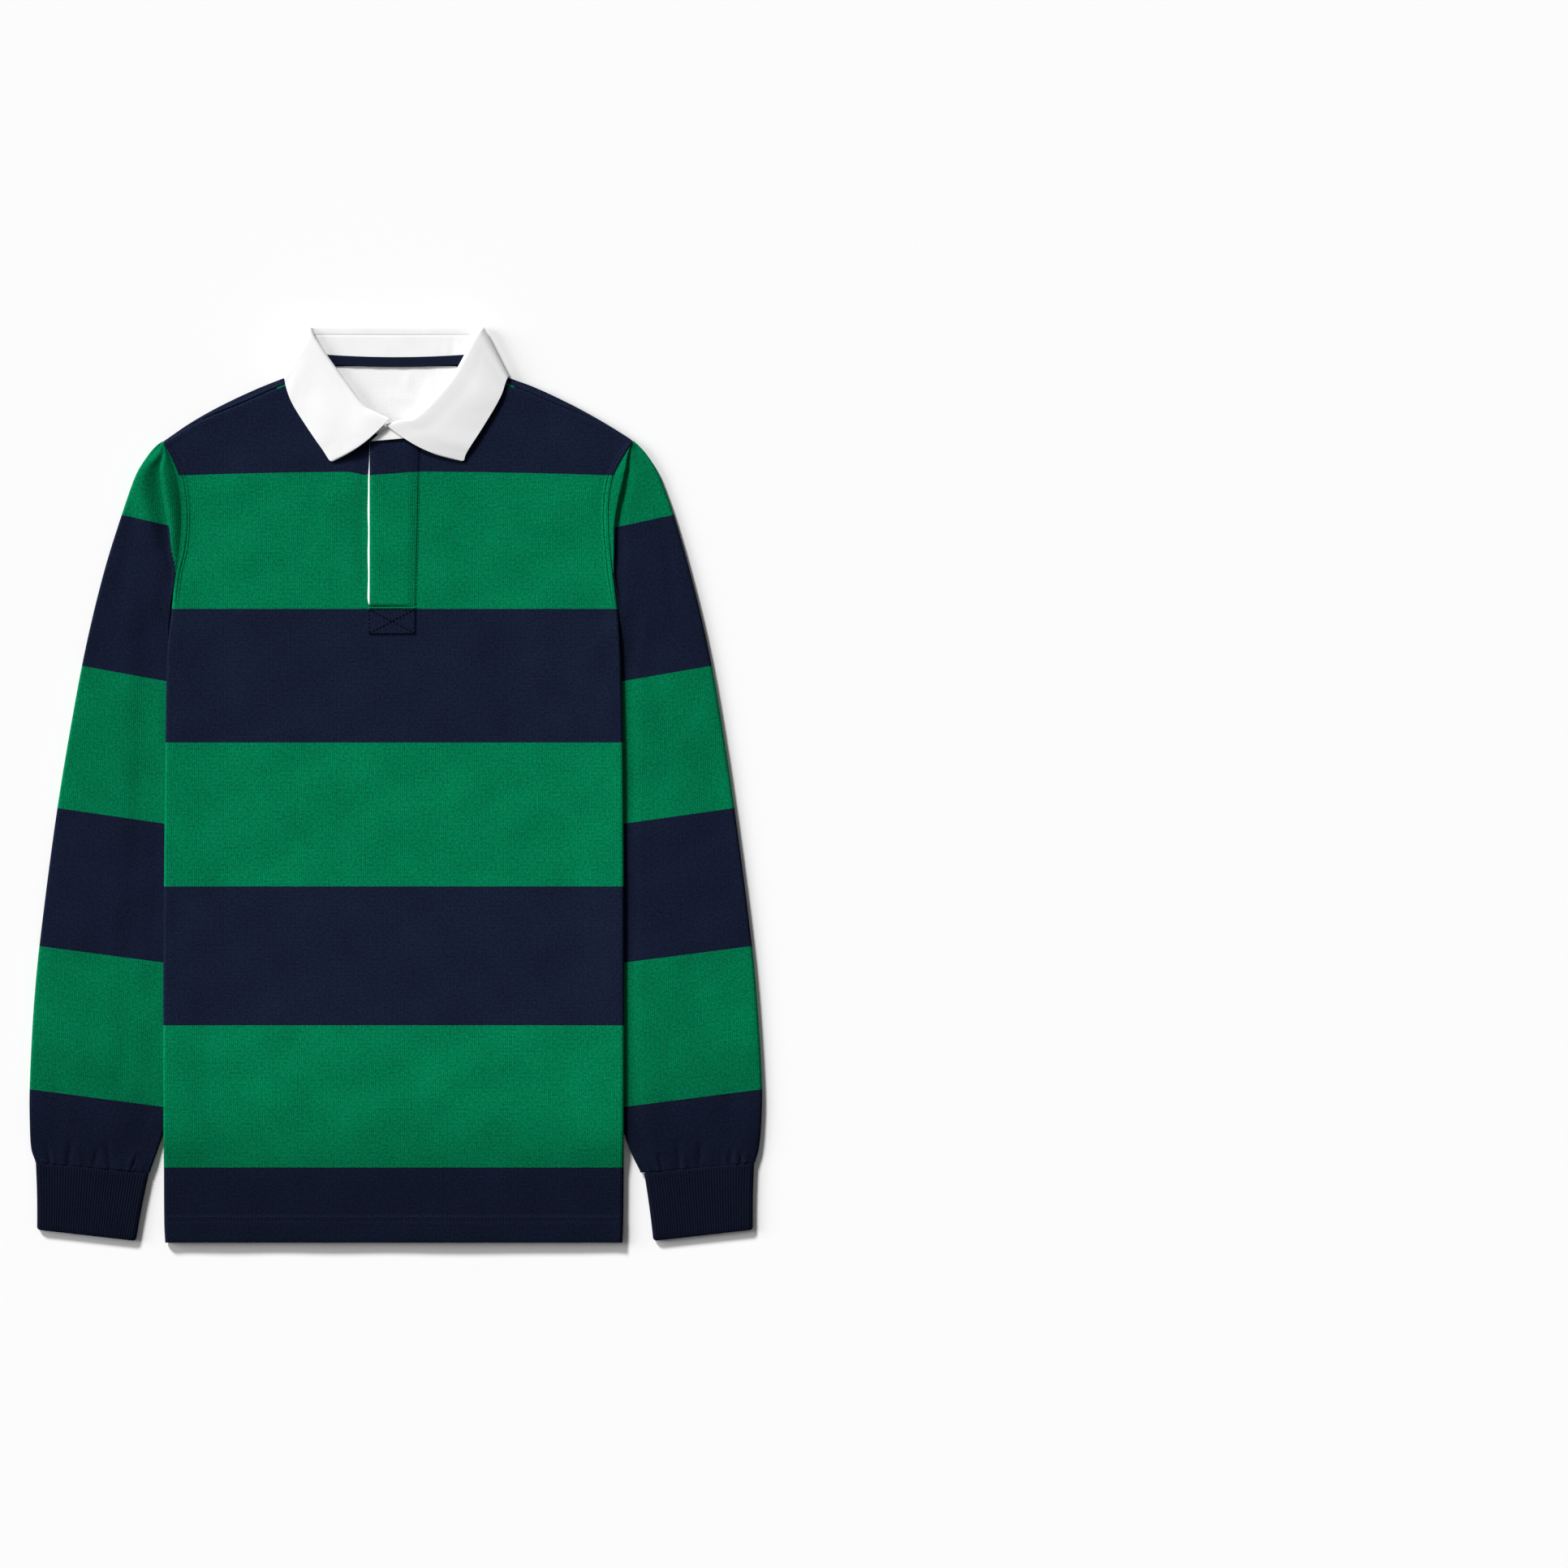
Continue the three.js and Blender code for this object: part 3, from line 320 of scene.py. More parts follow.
def cloth_material(name, rough=0.9, sheen=0.005):
    material = bpy.data.materials.new(name)
    material.use_nodes = True
    tree = material.node_tree
    shader = tree.nodes["Principled BSDF"]
    shader.inputs["Roughness"].default_value = rough
    shader.inputs["Specular IOR Level"].default_value = 0.02
    shader.inputs["Sheen Weight"].default_value = sheen
    shader.inputs["Sheen Roughness"].default_value = 0.5
    uv = tree.nodes.new("ShaderNodeUVMap")
    uv.uv_map = "cloth"
    return material, tree, shader, uv.outputs["UV"]


def use(tree, group, uv, **values):
    node = tree.nodes.new("ShaderNodeGroup")
    node.node_tree = group
    tree.links.new(uv, node.inputs["Cloth"])
    for label, value in values.items():
        feed(tree, node.inputs[label.replace("_", " ")], value)
    return node


def tinted(tree, shader, colour, tone):
    grey = tree.nodes.new("ShaderNodeCombineColor")
    for channel in range(3):
        tree.links.new(tone, grey.inputs[channel])
    mix = tree.nodes.new("ShaderNodeMix")
    mix.data_type = "RGBA"
    mix.blend_type = "MULTIPLY"
    mix.inputs["Factor"].default_value = 1.0
    feed(tree, mix.inputs[6], colour)
    tree.links.new(grey.outputs[0], mix.inputs[7])
    tree.links.new(mix.outputs[2], shader.inputs["Base Color"])


def bumped(tree, shader, height, distance):
    bump = tree.nodes.new("ShaderNodeBump")
    bump.inputs["Distance"].default_value = distance
    tree.links.new(height, bump.inputs["Height"])
    tree.links.new(bump.outputs["Normal"], shader.inputs["Normal"])


def hooped(name, edges, first, second, mottle, bump, depth):
    material, tree, shader, uv = cloth_material(name)
    knit = use(tree, KNIT, uv, Mottle=mottle)
    values = {"Edge_%d" % (k + 1): edge * MM for k, edge in enumerate(edges)}
    hoops = use(tree, HOOPS, uv, First=first, Second=second, **values)
    # Painted shade towards the hem and cuffs, multiplied into the knit's tone.
    painted_shade_node = use(
        tree, PAINTED_SHADE, uv, Tone=knit.outputs["Tone"], High=depth["high"], Low=depth["low"],
        Start=depth["start"] * MM, End=depth["end"] * MM,
    )
    tinted(tree, shader, hoops.outputs["Colour"], painted_shade_node.outputs["Tone"])
    bumped(tree, shader, knit.outputs["Height"], bump)
    return material


def plain_knit(name, colour, mottle, bump):
    material, tree, shader, uv = cloth_material(name)
    knit = use(tree, KNIT, uv, Mottle=mottle)
    tinted(tree, shader, colour, knit.outputs["Tone"])
    bumped(tree, shader, knit.outputs["Height"], bump)
    return material


def woven(name, colour, pitch, bump):
    material, tree, shader, uv = cloth_material(name, rough=0.85, sheen=0.06)
    weave = use(tree, TWILL_WEAVE, uv, Pitch=pitch)
    tinted(tree, shader, colour, weave.outputs["Tone"])
    bumped(tree, shader, weave.outputs["Height"], bump)
    return material


# %% Make the materials
BODY_JERSEY = hooped("body jersey", BODY_HOOPS, NAVY, GREEN, 0.36, 0.0002, BODY_PAINTED_SHADE)
SLEEVE_JERSEY = hooped("sleeve jersey", SLEEVE_HOOPS, NAVY, GREEN, 0.36, 0.0002, SLEEVE_PAINTED_SHADE)
BODY_THREAD = hooped("body thread", BODY_HOOPS, THREAD_NAVY, THREAD_GREEN, 0.05, 0.00005, BODY_PAINTED_SHADE)
PLACKET_THREAD = hooped(
    "placket thread", BODY_HOOPS, THREAD_DARK, THREAD_DEEP_GREEN, 0.05, 0.00005, BODY_PAINTED_SHADE
)
CUFF_RIB = plain_knit("navy rib", SHADED_RIB_NAVY, 0.24, 0.00015)
PATCH_JERSEY = plain_knit("white jersey", WHITE, 0.02, 0.00008)
COLLAR_TWILL = woven("white twill", WHITE, 0.0008, 0.00005)
TAPE_WEAVE = woven("navy tape", TAPE_NAVY, 0.0011, 0.00010)
print("materials:", [m.name for m in (BODY_JERSEY, SLEEVE_JERSEY, CUFF_RIB, COLLAR_TWILL, TAPE_WEAVE)])

# %% [markdown]
# ## Tables and curves
#
# The outline of each panel is a short table: how far its edge stands from the middle at some
# heights. A smooth curve runs through each column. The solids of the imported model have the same
# outlines, so a shell made from these lies on its solid.

# %% Small tools for curves
def lerp(a, b, t):
    return a + (b - a) * t


def smooth(t):
    c = np.clip(t, 0.0, 1.0)
    return c * c * (3 - 2 * c)


def curve(rows, key, name):
    """A smooth curve through one column of a table, against another column."""
    ordered = sorted(rows, key=lambda row: row[key])
    xs = np.array([row[key] for row in ordered], float)
    ys = np.array([row[name] for row in ordered], float)
    before = np.maximum(np.arange(len(xs)) - 1, 0)
    after = np.minimum(np.arange(len(xs)) + 1, len(xs) - 1)
    slopes = (ys[after] - ys[before]) / (xs[after] - xs[before])

    def at(x):
        x = np.clip(np.asarray(x, float), xs[0], xs[-1])
        i = np.clip(np.searchsorted(xs, x) - 1, 0, len(xs) - 2)
        h = xs[i + 1] - xs[i]
        t = (x - xs[i]) / h
        t2, t3 = t * t, t * t * t
        ends = (2 * t3 - 3 * t2 + 1) * ys[i] + (3 * t2 - 2 * t3) * ys[i + 1]
        return ends + (t3 - 2 * t2 + t) * h * slopes[i] + (t3 - t2) * h * slopes[i + 1]

    return at


def table(names, *rows):
    return [dict(zip(names.split(), row)) for row in rows]


# %% Body and sleeve outlines
JERSEY = 1.4
TWILL = 1.6
SEAM_GAP = 0.3
BODY_HEIGHT = 6.2
BODY_BACK_OVER_SLEEVE = 3.9
BODY_TOP_OVER_SLEEVE = 8.2
BACK_OVER_COLLAR = 1.9
SLEEVE_HEIGHT = 5.0
SLEEVE_UNDER_BODY = 3.6
CUFF_HEIGHT = 5.2
HEM_Y = -395.2
ARMPIT_Y = 150.0
TIP_Y = 295.4
NECK_HALF_WIDTH = 70.0
NECK_POINT_Y = 360.0
FRONT_NECK_DROP = 60.0
BACK_NECK_RISE = 4.0
HEM_DEPTH = 23.0

BODY_SIDES = table(
    "y left right",
    (-395.2, -198.8, 195.3), (-380, -199.6, 196.0), (-330, -199.9, 196.5), (-207, -200.2, 196.7),
    (-88, -199.5, 196.6), (36, -198.2, 195.8), (110, -196.8, 194.0), (150, -193.2, 191.9),
)
ARMHOLES = table(
    "y left right",
    (150, -193.2, 191.9), (180, -189.4, 186.8), (203, -184.4, 184.4), (225, -182.5, 182.9),
    (246, -183.1, 183.4), (264, -186.2, 186.6), (276, -190.6, 192.2), (287, -196.0, 198.8),
    (295.4, -200.2, 204.6),
)
SHOULDERS = table(
    "across left right",
    (70, 360, 360), (97, 349.6, 350.2), (120, 340.4, 341.7), (150, 326.4, 327.7),
    (176, 311.9, 313.6), (200.2, 295.4, 298.7), (204.6, 292.4, 295.4),
)
SLEEVE_OUTER = table(
    "y left right",
    (295.4, -201.0, 205.2), (291.5, -206.5, 209.7), (284.5, -212.8, 216.0), (270.5, -221.9, 225.1),
    (256.5, -227.9, 231.0), (231.3, -236.6, 239.8), (186.5, -250.6, 252.7), (130.5, -264.6, 266.4),
    (74.5, -275.8, 277.2), (-21.4, -291.9, 291.9), (-139.7, -307.3, 307.0), (-198.5, -312.6, 312.2),
    (-262.9, -315.7, 315.7), (-293.0, -315.6, 315.0), (-314.7, -314.3, 312.8), (-325.0, -310.9, 309.9),
)
SLEEVE_TUCK = table(
    "y left right",
    (150, -0.1, -0.1), (128, 0.5, 0.5), (95, 7, 7), (-265, 7, 7), (-290, 3.0, 3.0),
    (-303.5, -1.2, -1.0), (-317.5, -6.0, -6.0), (-334.0, -12.0, -14.2),
)
FOLD_COLUMNS = "y crest seam top valley reach beyond"
SLEEVE_FOLD = {
    "left": table(
        FOLD_COLUMNS,
        (295.4, 1, 6.0, 6.2, 6.0, 6, 6.0), (288, 6.4, 5.6, 6.9, 5.6, 8, 6.2),
        (275, 12.4, 4.6, 8.2, 4.7, 16, 7.6), (256.6, 16.2, 4.0, 9.0, 3.8, 21, 8.8),
        (239, 15.6, 3.9, 9.1, 3.7, 21, 8.8), (221.5, 12.2, 4.4, 8.7, 3.8, 19, 8.0),
        (200.6, 8.4, 5.6, 7.9, 4.2, 15, 6.6), (184, 1.6, 6.0, 6.6, 4.8, 8, 5.2),
        (150, 1, 5.0, 5.2, 5.0, 8, 5.0),
    ),
    "right": table(
        FOLD_COLUMNS,
        (295.4, 1, 6.0, 6.2, 6.0, 6, 6.0), (288, 4.0, 6.2, 6.8, 5.2, 8, 5.6),
        (275, 8.0, 6.4, 7.2, 4.4, 10, 5.2), (256.6, 11.0, 6.6, 7.5, 3.9, 12, 5.1),
        (239, 8.6, 6.6, 7.5, 3.8, 12, 5.1), (221.5, 5.4, 6.6, 7.4, 3.8, 13, 5.1),
        (200.6, 3.4, 6.4, 7.2, 3.8, 14, 5.1), (184, 1.4, 6.0, 6.6, 4.0, 12, 5.1),
        (150, 1, 5.0, 5.2, 4.6, 8, 5.0),
    ),
}
print("body is", -HEM_Y + NECK_POINT_Y, "mm from hem to neck point")

# %% [markdown]
# ## Creases
#
# The cloth was pressed, so it has few creases: soft troughs that run from the armpits, beside the
# placket and down the panels, each of its own length, width and depth. A trough is a valley with
# a bell-shaped section that fades at both ends. A slow swell with no pattern keeps the wide
# panels from looking like card.

# %% Soft troughs and the slow swell
CREASE_COLUMNS = "x0 y0 x1 y1 width depth"
FRONT_CREASES = table(
    CREASE_COLUMNS,
    (-190, 152, -142, 96, 8, 0.55), (-186, 132, -158, 60, 7, 0.35), (189, 150, 146, 104, 8, 0.50),
    (186, 128, 164, 40, 8, 0.35), (-33, 262, -29, 168, 5, 0.50), (-60, 266, -82, 196, 9, 0.35),
    (66, 268, 88, 214, 9, 0.35), (-120, -40, -130, -310, 20, 0.40), (58, -20, 70, -340, 22, 0.35),
    (150, 40, 158, -180, 17, 0.40), (-44, 90, -30, -150, 24, 0.35), (-168, -120, -160, -350, 12, 0.35),
    (120, 330, 152, 262, 9, 0.40), (-118, 330, -150, 258, 10, 0.40), (96, 150, 108, 60, 14, 0.30),
)
BACK_CREASES = table(
    CREASE_COLUMNS,
    (-188, 150, -130, 90, 9, 0.30), (186, 150, 132, 84, 9, 0.30), (-90, 230, -100, 20, 18, 0.25),
    (84, 240, 96, -40, 20, 0.25), (10, 180, -6, -180, 26, 0.25), (-140, -60, -132, -320, 18, 0.25),
    (136, -80, 142, -330, 20, 0.25),
)
SLEEVE_CREASES = table(
    CREASE_COLUMNS,
    (-226, 236, -244, 120, 7, 0.50), (-216, 130, -236, -270, 10, 1.0), (-262, 90, -222, 40, 7, 0.35),
    (-284, -20, -236, -52, 7, 0.40), (-250, -60, -262, -240, 12, 0.45), (-296, -140, -262, -168, 6, 0.30),
    (-230, -200, -238, -300, 8, 0.40), (-288, -230, -292, -312, 7, 0.40),
    (228, 240, 246, 122, 7, 0.50), (216, 140, 238, 0, 9, 0.45), (264, 70, 226, 26, 7, 0.35),
    (282, -40, 232, -66, 7, 0.40), (252, -80, 264, -250, 12, 0.45), (294, -150, 256, -182, 6, 0.30),
    (232, -210, 240, -304, 8, 0.40), (290, -240, 288, -312, 7, 0.40),
)
CUFF_CREASES = table(
    CREASE_COLUMNS,
    (-297, -331, -300, -309, 1.5, 1.0), (-283, -332, -279, -306, 1.8, 1.0),
    (-274, -333, -277, -316, 1.4, 0.8), (-262, -334, -256, -312, 1.7, 0.7),
    (-246, -335, -249, -308, 1.7, 1.1), (-229, -336, -223, -320, 1.5, 0.9),
    (245, -335, 243, -306, 1.7, 1.0), (261, -334, 263, -308, 1.6, 1.1), (275, -333, 273, -316, 1.4, 0.8),
    (286, -332, 290, -312, 1.5, 0.8), (298, -331, 296, -314, 1.5, 0.9), (230, -336, 226, -318, 1.5, 0.7),
)


def trough(x, y, rows):
    total = np.zeros_like(x)
    for row in rows:
        dx, dy = row["x1"] - row["x0"], row["y1"] - row["y0"]
        length2 = dx * dx + dy * dy
        t = ((x - row["x0"]) * dx + (y - row["y0"]) * dy) / length2
        away = ((x - row["x0"]) * dy - (y - row["y0"]) * dx) / math.sqrt(length2)
        fade = np.sin(math.pi * np.clip(t, 0.0, 1.0)) ** 0.7
        total -= row["depth"] * fade * np.exp(-((away / row["width"]) ** 2))
    return total


SWELL_WAVES = 14
SWELL_LENGTHS = (45, 130)
random = np.random.default_rng(7)
SWELL = [
    (*random.uniform(-1, 1, 2) * TURN / random.uniform(*SWELL_LENGTHS), random.uniform(0, TURN))
    for _ in range(SWELL_WAVES)
]


def swell(x, y, height=0.13):
    return sum(height * np.sin(kx * x + ky * y + phase) for kx, ky, phase in SWELL)


print(sum(map(len, (FRONT_CREASES, BACK_CREASES, SLEEVE_CREASES, CUFF_CREASES))), "creases")

# %% [markdown]
# ## A sheet from a grid
#
# Every cloth piece starts as Blender's grid primitive. Its points are laid over the form, its
# UV map is filled with metres of cloth, Solidify gives it the cloth's thickness towards the
# inside, and Bevel rounds the rim, because cloth is folded or sewn at its edges and never has a
# sharp corner.


# %% Lay a grid over a form and finish it
def add_modifier(piece, name, kind, **settings):
    modifier = piece.modifiers.new(name, kind)
    for key, value in settings.items():
        setattr(modifier, key, value)
    bpy.ops.object.modifier_apply(modifier=name)


def laid_grid(name, points, cloth):
    """A grid primitive with rows x columns points, laid on points (mm), with cloth (mm) as its UV."""
    rows, columns = points.shape[:2]
    bpy.ops.object.select_all(action="DESELECT")
    bpy.ops.mesh.primitive_grid_add(x_subdivisions=columns - 1, y_subdivisions=rows - 1, size=1.0)
    piece = bpy.context.object
    piece.name = name
    mesh = piece.data
    mesh.name = name
    flat = np.empty(len(mesh.vertices) * 3)
    mesh.vertices.foreach_get("co", flat)
    flat = flat.reshape(-1, 3)
    j = np.rint((flat[:, 0] + 0.5) * (columns - 1)).astype(int)
    i = np.rint((flat[:, 1] + 0.5) * (rows - 1)).astype(int)
    mesh.vertices.foreach_set("co", (points[i, j] * MM).ravel())
    corners = np.empty(len(mesh.loops), dtype=np.int32)
    mesh.loops.foreach_get("vertex_index", corners)
    layer = mesh.uv_layers[0]
    layer.name = "cloth"
    layer.data.foreach_set("uv", (cloth[i, j][corners] * MM).ravel())
    mesh.update()
    return piece


def finish_cloth(piece, material, thickness, offset=-1.0, rim=0.4, join=False):
    if join:
        bpy.ops.object.mode_set(mode="EDIT")
        bpy.ops.mesh.select_all(action="SELECT")
        bpy.ops.mesh.remove_doubles(threshold=0.00002)
        bpy.ops.object.mode_set(mode="OBJECT")
    add_modifier(
        piece, "cloth wall", "SOLIDIFY", thickness=thickness * MM, offset=offset, use_even_offset=False
    )
    if rim:
        add_modifier(
            piece, "soft rim", "BEVEL", width=rim * MM, segments=2, limit_method="ANGLE",
            angle_limit=math.radians(55),
        )
    bpy.ops.object.shade_smooth_by_angle(angle=math.radians(60))
    piece.data.materials.clear()
    piece.data.materials.append(material)


def declare(piece, nodes):
    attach(piece, "root")
    if nodes:
        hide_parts(*nodes)
    mesh = piece.data
    mesh.calc_loop_triangles()
    print(piece.name, len(mesh.loop_triangles), "triangles")


def cloth_piece(node, points, cloth, material, slot, thickness, **finish):
    """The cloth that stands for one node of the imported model."""
    piece = laid_grid(node + "_cloth", points, cloth)
    finish_cloth(piece, material, thickness, **finish)
    declare(piece, [node])
    return piece


# %% [markdown]
# ## Front and back
#
# Each panel is a patch stretched between four edges: the hem, the two sides with their armholes,
# and the top edge with its shoulders and neck. The sides and shoulders curl round to meet the
# other panel half way up, so the body is a flattened tube. Where a sleeve lies under the side,
# both panels are lifted over it.

# %% Heights of the body's two faces
left_side, right_side = curve(BODY_SIDES, "y", "left"), curve(BODY_SIDES, "y", "right")
left_armhole, right_armhole = curve(ARMHOLES, "y", "left"), curve(ARMHOLES, "y", "right")
left_shoulder, right_shoulder = curve(SHOULDERS, "across", "left"), curve(SHOULDERS, "across", "right")
BODY_WIDTH = 396.0
BODY_LENGTH = TIP_Y - HEM_Y
NECK_START = 0.325
FRONT_RAMP = 50.0
BACK_RAMP = 15.0


def side_x(side, y):
    lower, upper = (left_side, left_armhole) if side == "left" else (right_side, right_armhole)
    return np.where(y < ARMPIT_Y, lower(y), upper(y))


def side_distance(x, y):
    return np.where(x < 0, x - side_x("left", y), side_x("right", y) - x)


def lift_over_sleeve(x, y, ramp):
    beside = 1 - smooth((side_distance(x, y) - 9) / ramp)
    return beside * smooth((ARMPIT_Y - y) / 24) * smooth((y + 336) / 30)


def body_top(x, y):
    return lerp(BODY_HEIGHT, BODY_TOP_OVER_SLEEVE, lift_over_sleeve(x, y, FRONT_RAMP))


def body_bottom(x, y):
    lift = BODY_BACK_OVER_SLEEVE * lift_over_sleeve(x, y, BACK_RAMP)
    return lift + BACK_OVER_COLLAR * smooth((y - 328) / 12)


# %% [markdown]
# Seams stand proud where cloth lies double: the felled seam round each armhole, the hem, and the
# shoulder seam, which on this shirt sits forward of the shoulder's fold. Each is a soft step in
# the panel's outer face with a fine groove where the needle draws the layers together.

# %% Felled seams, hem and shoulder seam
SHOULDER_SEAM = table("across inside", (78, 6.4), (97, 6.3), (135, 6.7), (167, 3.6), (198, 1.0))
shoulder_inside = curve(SHOULDER_SEAM, "across", "inside")
SHOULDER = {"fall": 1.7, "reach": 5.2, "ridge": 0.25, "groove": 1.4}
FELL = {"width": 4.2, "height": 0.8, "groove": 0.75, "rise": 14}
HEM = {"height": 0.5, "groove": 0.2}
STEP_WIDTH = 1.3
HEM_STITCHES = (-372.4, -377.4)
SEAM_STITCHES = 3.5


def shoulder_y(x):
    return np.where(x < 0, left_shoulder(np.abs(x)), right_shoulder(np.abs(x)))


def groove(distance, depth, width=0.55):
    return -depth * np.exp(-((distance / width) ** 2))


def seam_relief(x, y):
    d = side_distance(x, y)
    on_armhole = smooth((y - ARMPIT_Y) / FELL["rise"])
    fell = FELL["height"] * (1 - smooth((d - FELL["width"]) / STEP_WIDTH))
    fell += groove(d - SEAM_STITCHES, FELL["groove"], 0.75)
    hem = HEM["height"] * (1 - smooth((y - HEM_Y - HEM_DEPTH) / STEP_WIDTH))
    for stitch_y in HEM_STITCHES:
        hem += groove(y - stitch_y, HEM["groove"])
    return fell * on_armhole + hem


def shoulder_relief(x, y):
    below = shoulder_y(x) - y - shoulder_inside(np.abs(x))
    near = smooth((np.abs(x) - 70) / 6)
    slope = -SHOULDER["fall"] * smooth(-below / SHOULDER["reach"])
    ridge = SHOULDER["ridge"] * smooth((below + 0.6) / 0.9) * (1 - smooth((below - 4.6) / 3.0))
    return (slope + ridge + groove(below, SHOULDER["groove"], 0.75)) * near


# %% [markdown]
# The front dips a little beside the placket's free edge, where the cloth turns under. The swell
# and the troughs fade out near the sides, so that the edges stay where the pattern puts them.


# %% Points of a panel
def top_edge(u, front):
    inner = np.minimum(u, 1 - u)
    tip = np.where(u < 0.5, -side_x("left", np.array(TIP_Y)), side_x("right", np.array(TIP_Y)))
    across = lerp(tip, NECK_HALF_WIDTH, inner / NECK_START)
    shoulder = np.where(u < 0.5, left_shoulder(across), right_shoulder(across))
    angle = np.pi * (u - NECK_START) / (1 - 2 * NECK_START)
    drop = -FRONT_NECK_DROP if front else BACK_NECK_RISE
    on_shoulder = (u < NECK_START) | (u > 1 - NECK_START)
    x = np.where(on_shoulder, np.where(u < 0.5, -across, across), -NECK_HALF_WIDTH * np.cos(angle))
    y = np.where(on_shoulder, shoulder, NECK_POINT_Y + drop * np.sin(angle))
    return x, y


def body_plan(u, v, front):
    y = lerp(HEM_Y, TIP_Y, v)
    hem, tip = np.array(HEM_Y), np.array(TIP_Y)
    top_x, top_y = top_edge(u, front)
    left_corners = lerp(side_x("left", hem), side_x("left", tip), v)
    right_corners = lerp(side_x("right", hem), side_x("right", tip), v)
    across_hem = lerp(side_x("left", hem), side_x("right", hem), u)
    x = lerp(across_hem, top_x, v) + lerp(side_x("left", y), side_x("right", y), u)
    return x - lerp(left_corners, right_corners, u), lerp(HEM_Y, top_y, v)


EDGE_ANGLES = np.radians(np.arange(0, 91, 15))
EDGE_STEPS = np.arange(3.5, 8.8, 0.5)


def panel_columns(count):
    turned = [(-1, angle, 0.0) for angle in EDGE_ANGLES]
    near = EDGE_STEPS / BODY_WIDTH
    middle = np.linspace(9 / BODY_WIDTH, 1 - 9 / BODY_WIDTH, count)
    plain = [(0, 0.0, u) for u in np.concatenate([near, middle, 1 - near[::-1]])]
    return turned + plain + [(1, angle, 1.0) for angle in EDGE_ANGLES[::-1]]


def panel_rows(count):
    hem = HEM_Y + np.arange(15.5, 25.6, 0.55)
    plain = np.linspace(HEM_Y, TIP_Y - 9, count)
    plain = plain[(plain < hem[0] - 0.3) | (plain > hem[-1] + 0.3)]
    plain = np.sort(np.concatenate([plain, hem, TIP_Y - EDGE_STEPS]))
    return [(0, 0.0, y) for y in plain] + [(1, angle, TIP_Y) for angle in EDGE_ANGLES[::-1]]


def panel_points(front, count_across, count_up, relief):
    columns = np.array(panel_columns(count_across))
    rows = np.array(panel_rows(count_up))
    side, side_angle, u_plain = (columns[None, :, k] for k in range(3))
    on_top, top_angle, y = (rows[:, None, k] for k in range(3))
    at_side = side != 0
    side_curl = np.where(at_side, 1 - smooth((y - ARMPIT_Y) / 25), 0.0)
    v = (y - HEM_Y) / BODY_LENGTH
    edge_x, _ = body_plan(u_plain + 0 * y, v + 0 * u_plain, front)
    side_radius = (body_top(edge_x, y) - body_bottom(edge_x, y)) / 2
    inwards = np.where(at_side, side_radius * (1 - np.cos(side_angle)), 0.0) / BODY_WIDTH
    u = np.where(side > 0, 1 - inwards, u_plain + inwards)
    flat_x, flat_y = body_plan(u, np.ones_like(u), front)
    top_curl = np.where(on_top > 0, smooth((np.abs(flat_x) - 66) / 4.2), 0.0)
    top_radius = (body_top(flat_x, flat_y) - body_bottom(flat_x, flat_y)) / 2
    from_top = np.where(on_top > 0, top_radius * (1 - np.cos(top_angle)), TIP_Y - y)
    px, py = body_plan(u, 1 - from_top / BODY_LENGTH, front)
    high, low = body_top(px, py), body_bottom(px, py)
    middle = (high + low) / 2
    keep = 1 - side_curl * (1 - np.where(at_side, np.sin(side_angle), 1.0))
    keep = keep * (1 - top_curl * (1 - np.where(on_top > 0, np.sin(top_angle), 1.0)))
    fade = smooth(side_distance(px, py) / 14)
    if front:
        z = lerp(middle + SEAM_GAP / 2, high + relief(px, py, fade), keep)
    else:
        z = lerp(middle - SEAM_GAP / 2, low + relief(px, py, fade), keep)
    return np.stack([px, py, z], axis=-1)


# %% Relief of the two panels
OPENING_DIP = {"x": -24.0, "depth": 0.9, "left": 12.0, "right": 5.0}


def opening_dip(x, y):
    side = np.where(x < OPENING_DIP["x"], OPENING_DIP["left"], OPENING_DIP["right"])
    bell = smooth(1 - np.abs(x - OPENING_DIP["x"]) / side)
    return -OPENING_DIP["depth"] * bell * smooth((y - 154) / 30) * smooth((300 - y) / 30)


def front_relief(x, y, fade):
    soft = (trough(x, y, FRONT_CREASES) + swell(x, y)) * fade
    return soft + opening_dip(x, y) + seam_relief(x, y) + shoulder_relief(x, y)


def back_relief(x, y, fade):
    clear = smooth((y - 20) / 300 + 1)
    soft = (swell(x, y, 0.02) - trough(x, y, BACK_CREASES)) * fade * clear
    return np.maximum(soft, 0.0)


SLIVER = {"to": 103.5, "from": -0.7, "height": 1.0, "hoop": 210.0}
SIDE_SAG = {"depth": 3.5, "half": 190}
OPENING_SAG = {"depth": 2.9, "x": -25, "width": 10, "to": -22}


def body_cloth(points):
    """Millimetres of cloth at each point: the hoops sag a little at the sides and by the placket.

    At the neck end of each shoulder seam a sliver of the next hoop shows along the seam.
    """
    x, y = points[..., 0], points[..., 1]
    sag = SIDE_SAG["depth"] * (x / SIDE_SAG["half"]) ** 2 * smooth((y - 190) / 60)
    bell = np.exp(-(((x - OPENING_SAG["x"]) / OPENING_SAG["width"]) ** 2))
    dip = OPENING_SAG["depth"] * bell * (x < OPENING_SAG["to"]) * smooth((y - 225) / 30)
    above_seam = y + shoulder_inside(np.abs(x)) - shoulder_y(x)
    along_seam = (above_seam > SLIVER["from"]) & (above_seam < SLIVER["height"])
    sliver = along_seam & (np.abs(x) < SLIVER["to"]) & (y > 320)
    return np.stack([x, np.where(sliver, SLIVER["hoop"], y + sag + dip)], axis=-1)


# %% Make the front
points = panel_points(True, 130, 160, front_relief)
body_front = cloth_piece("body_front", points, body_cloth(points), BODY_JERSEY, "hooped_jersey", JERSEY)

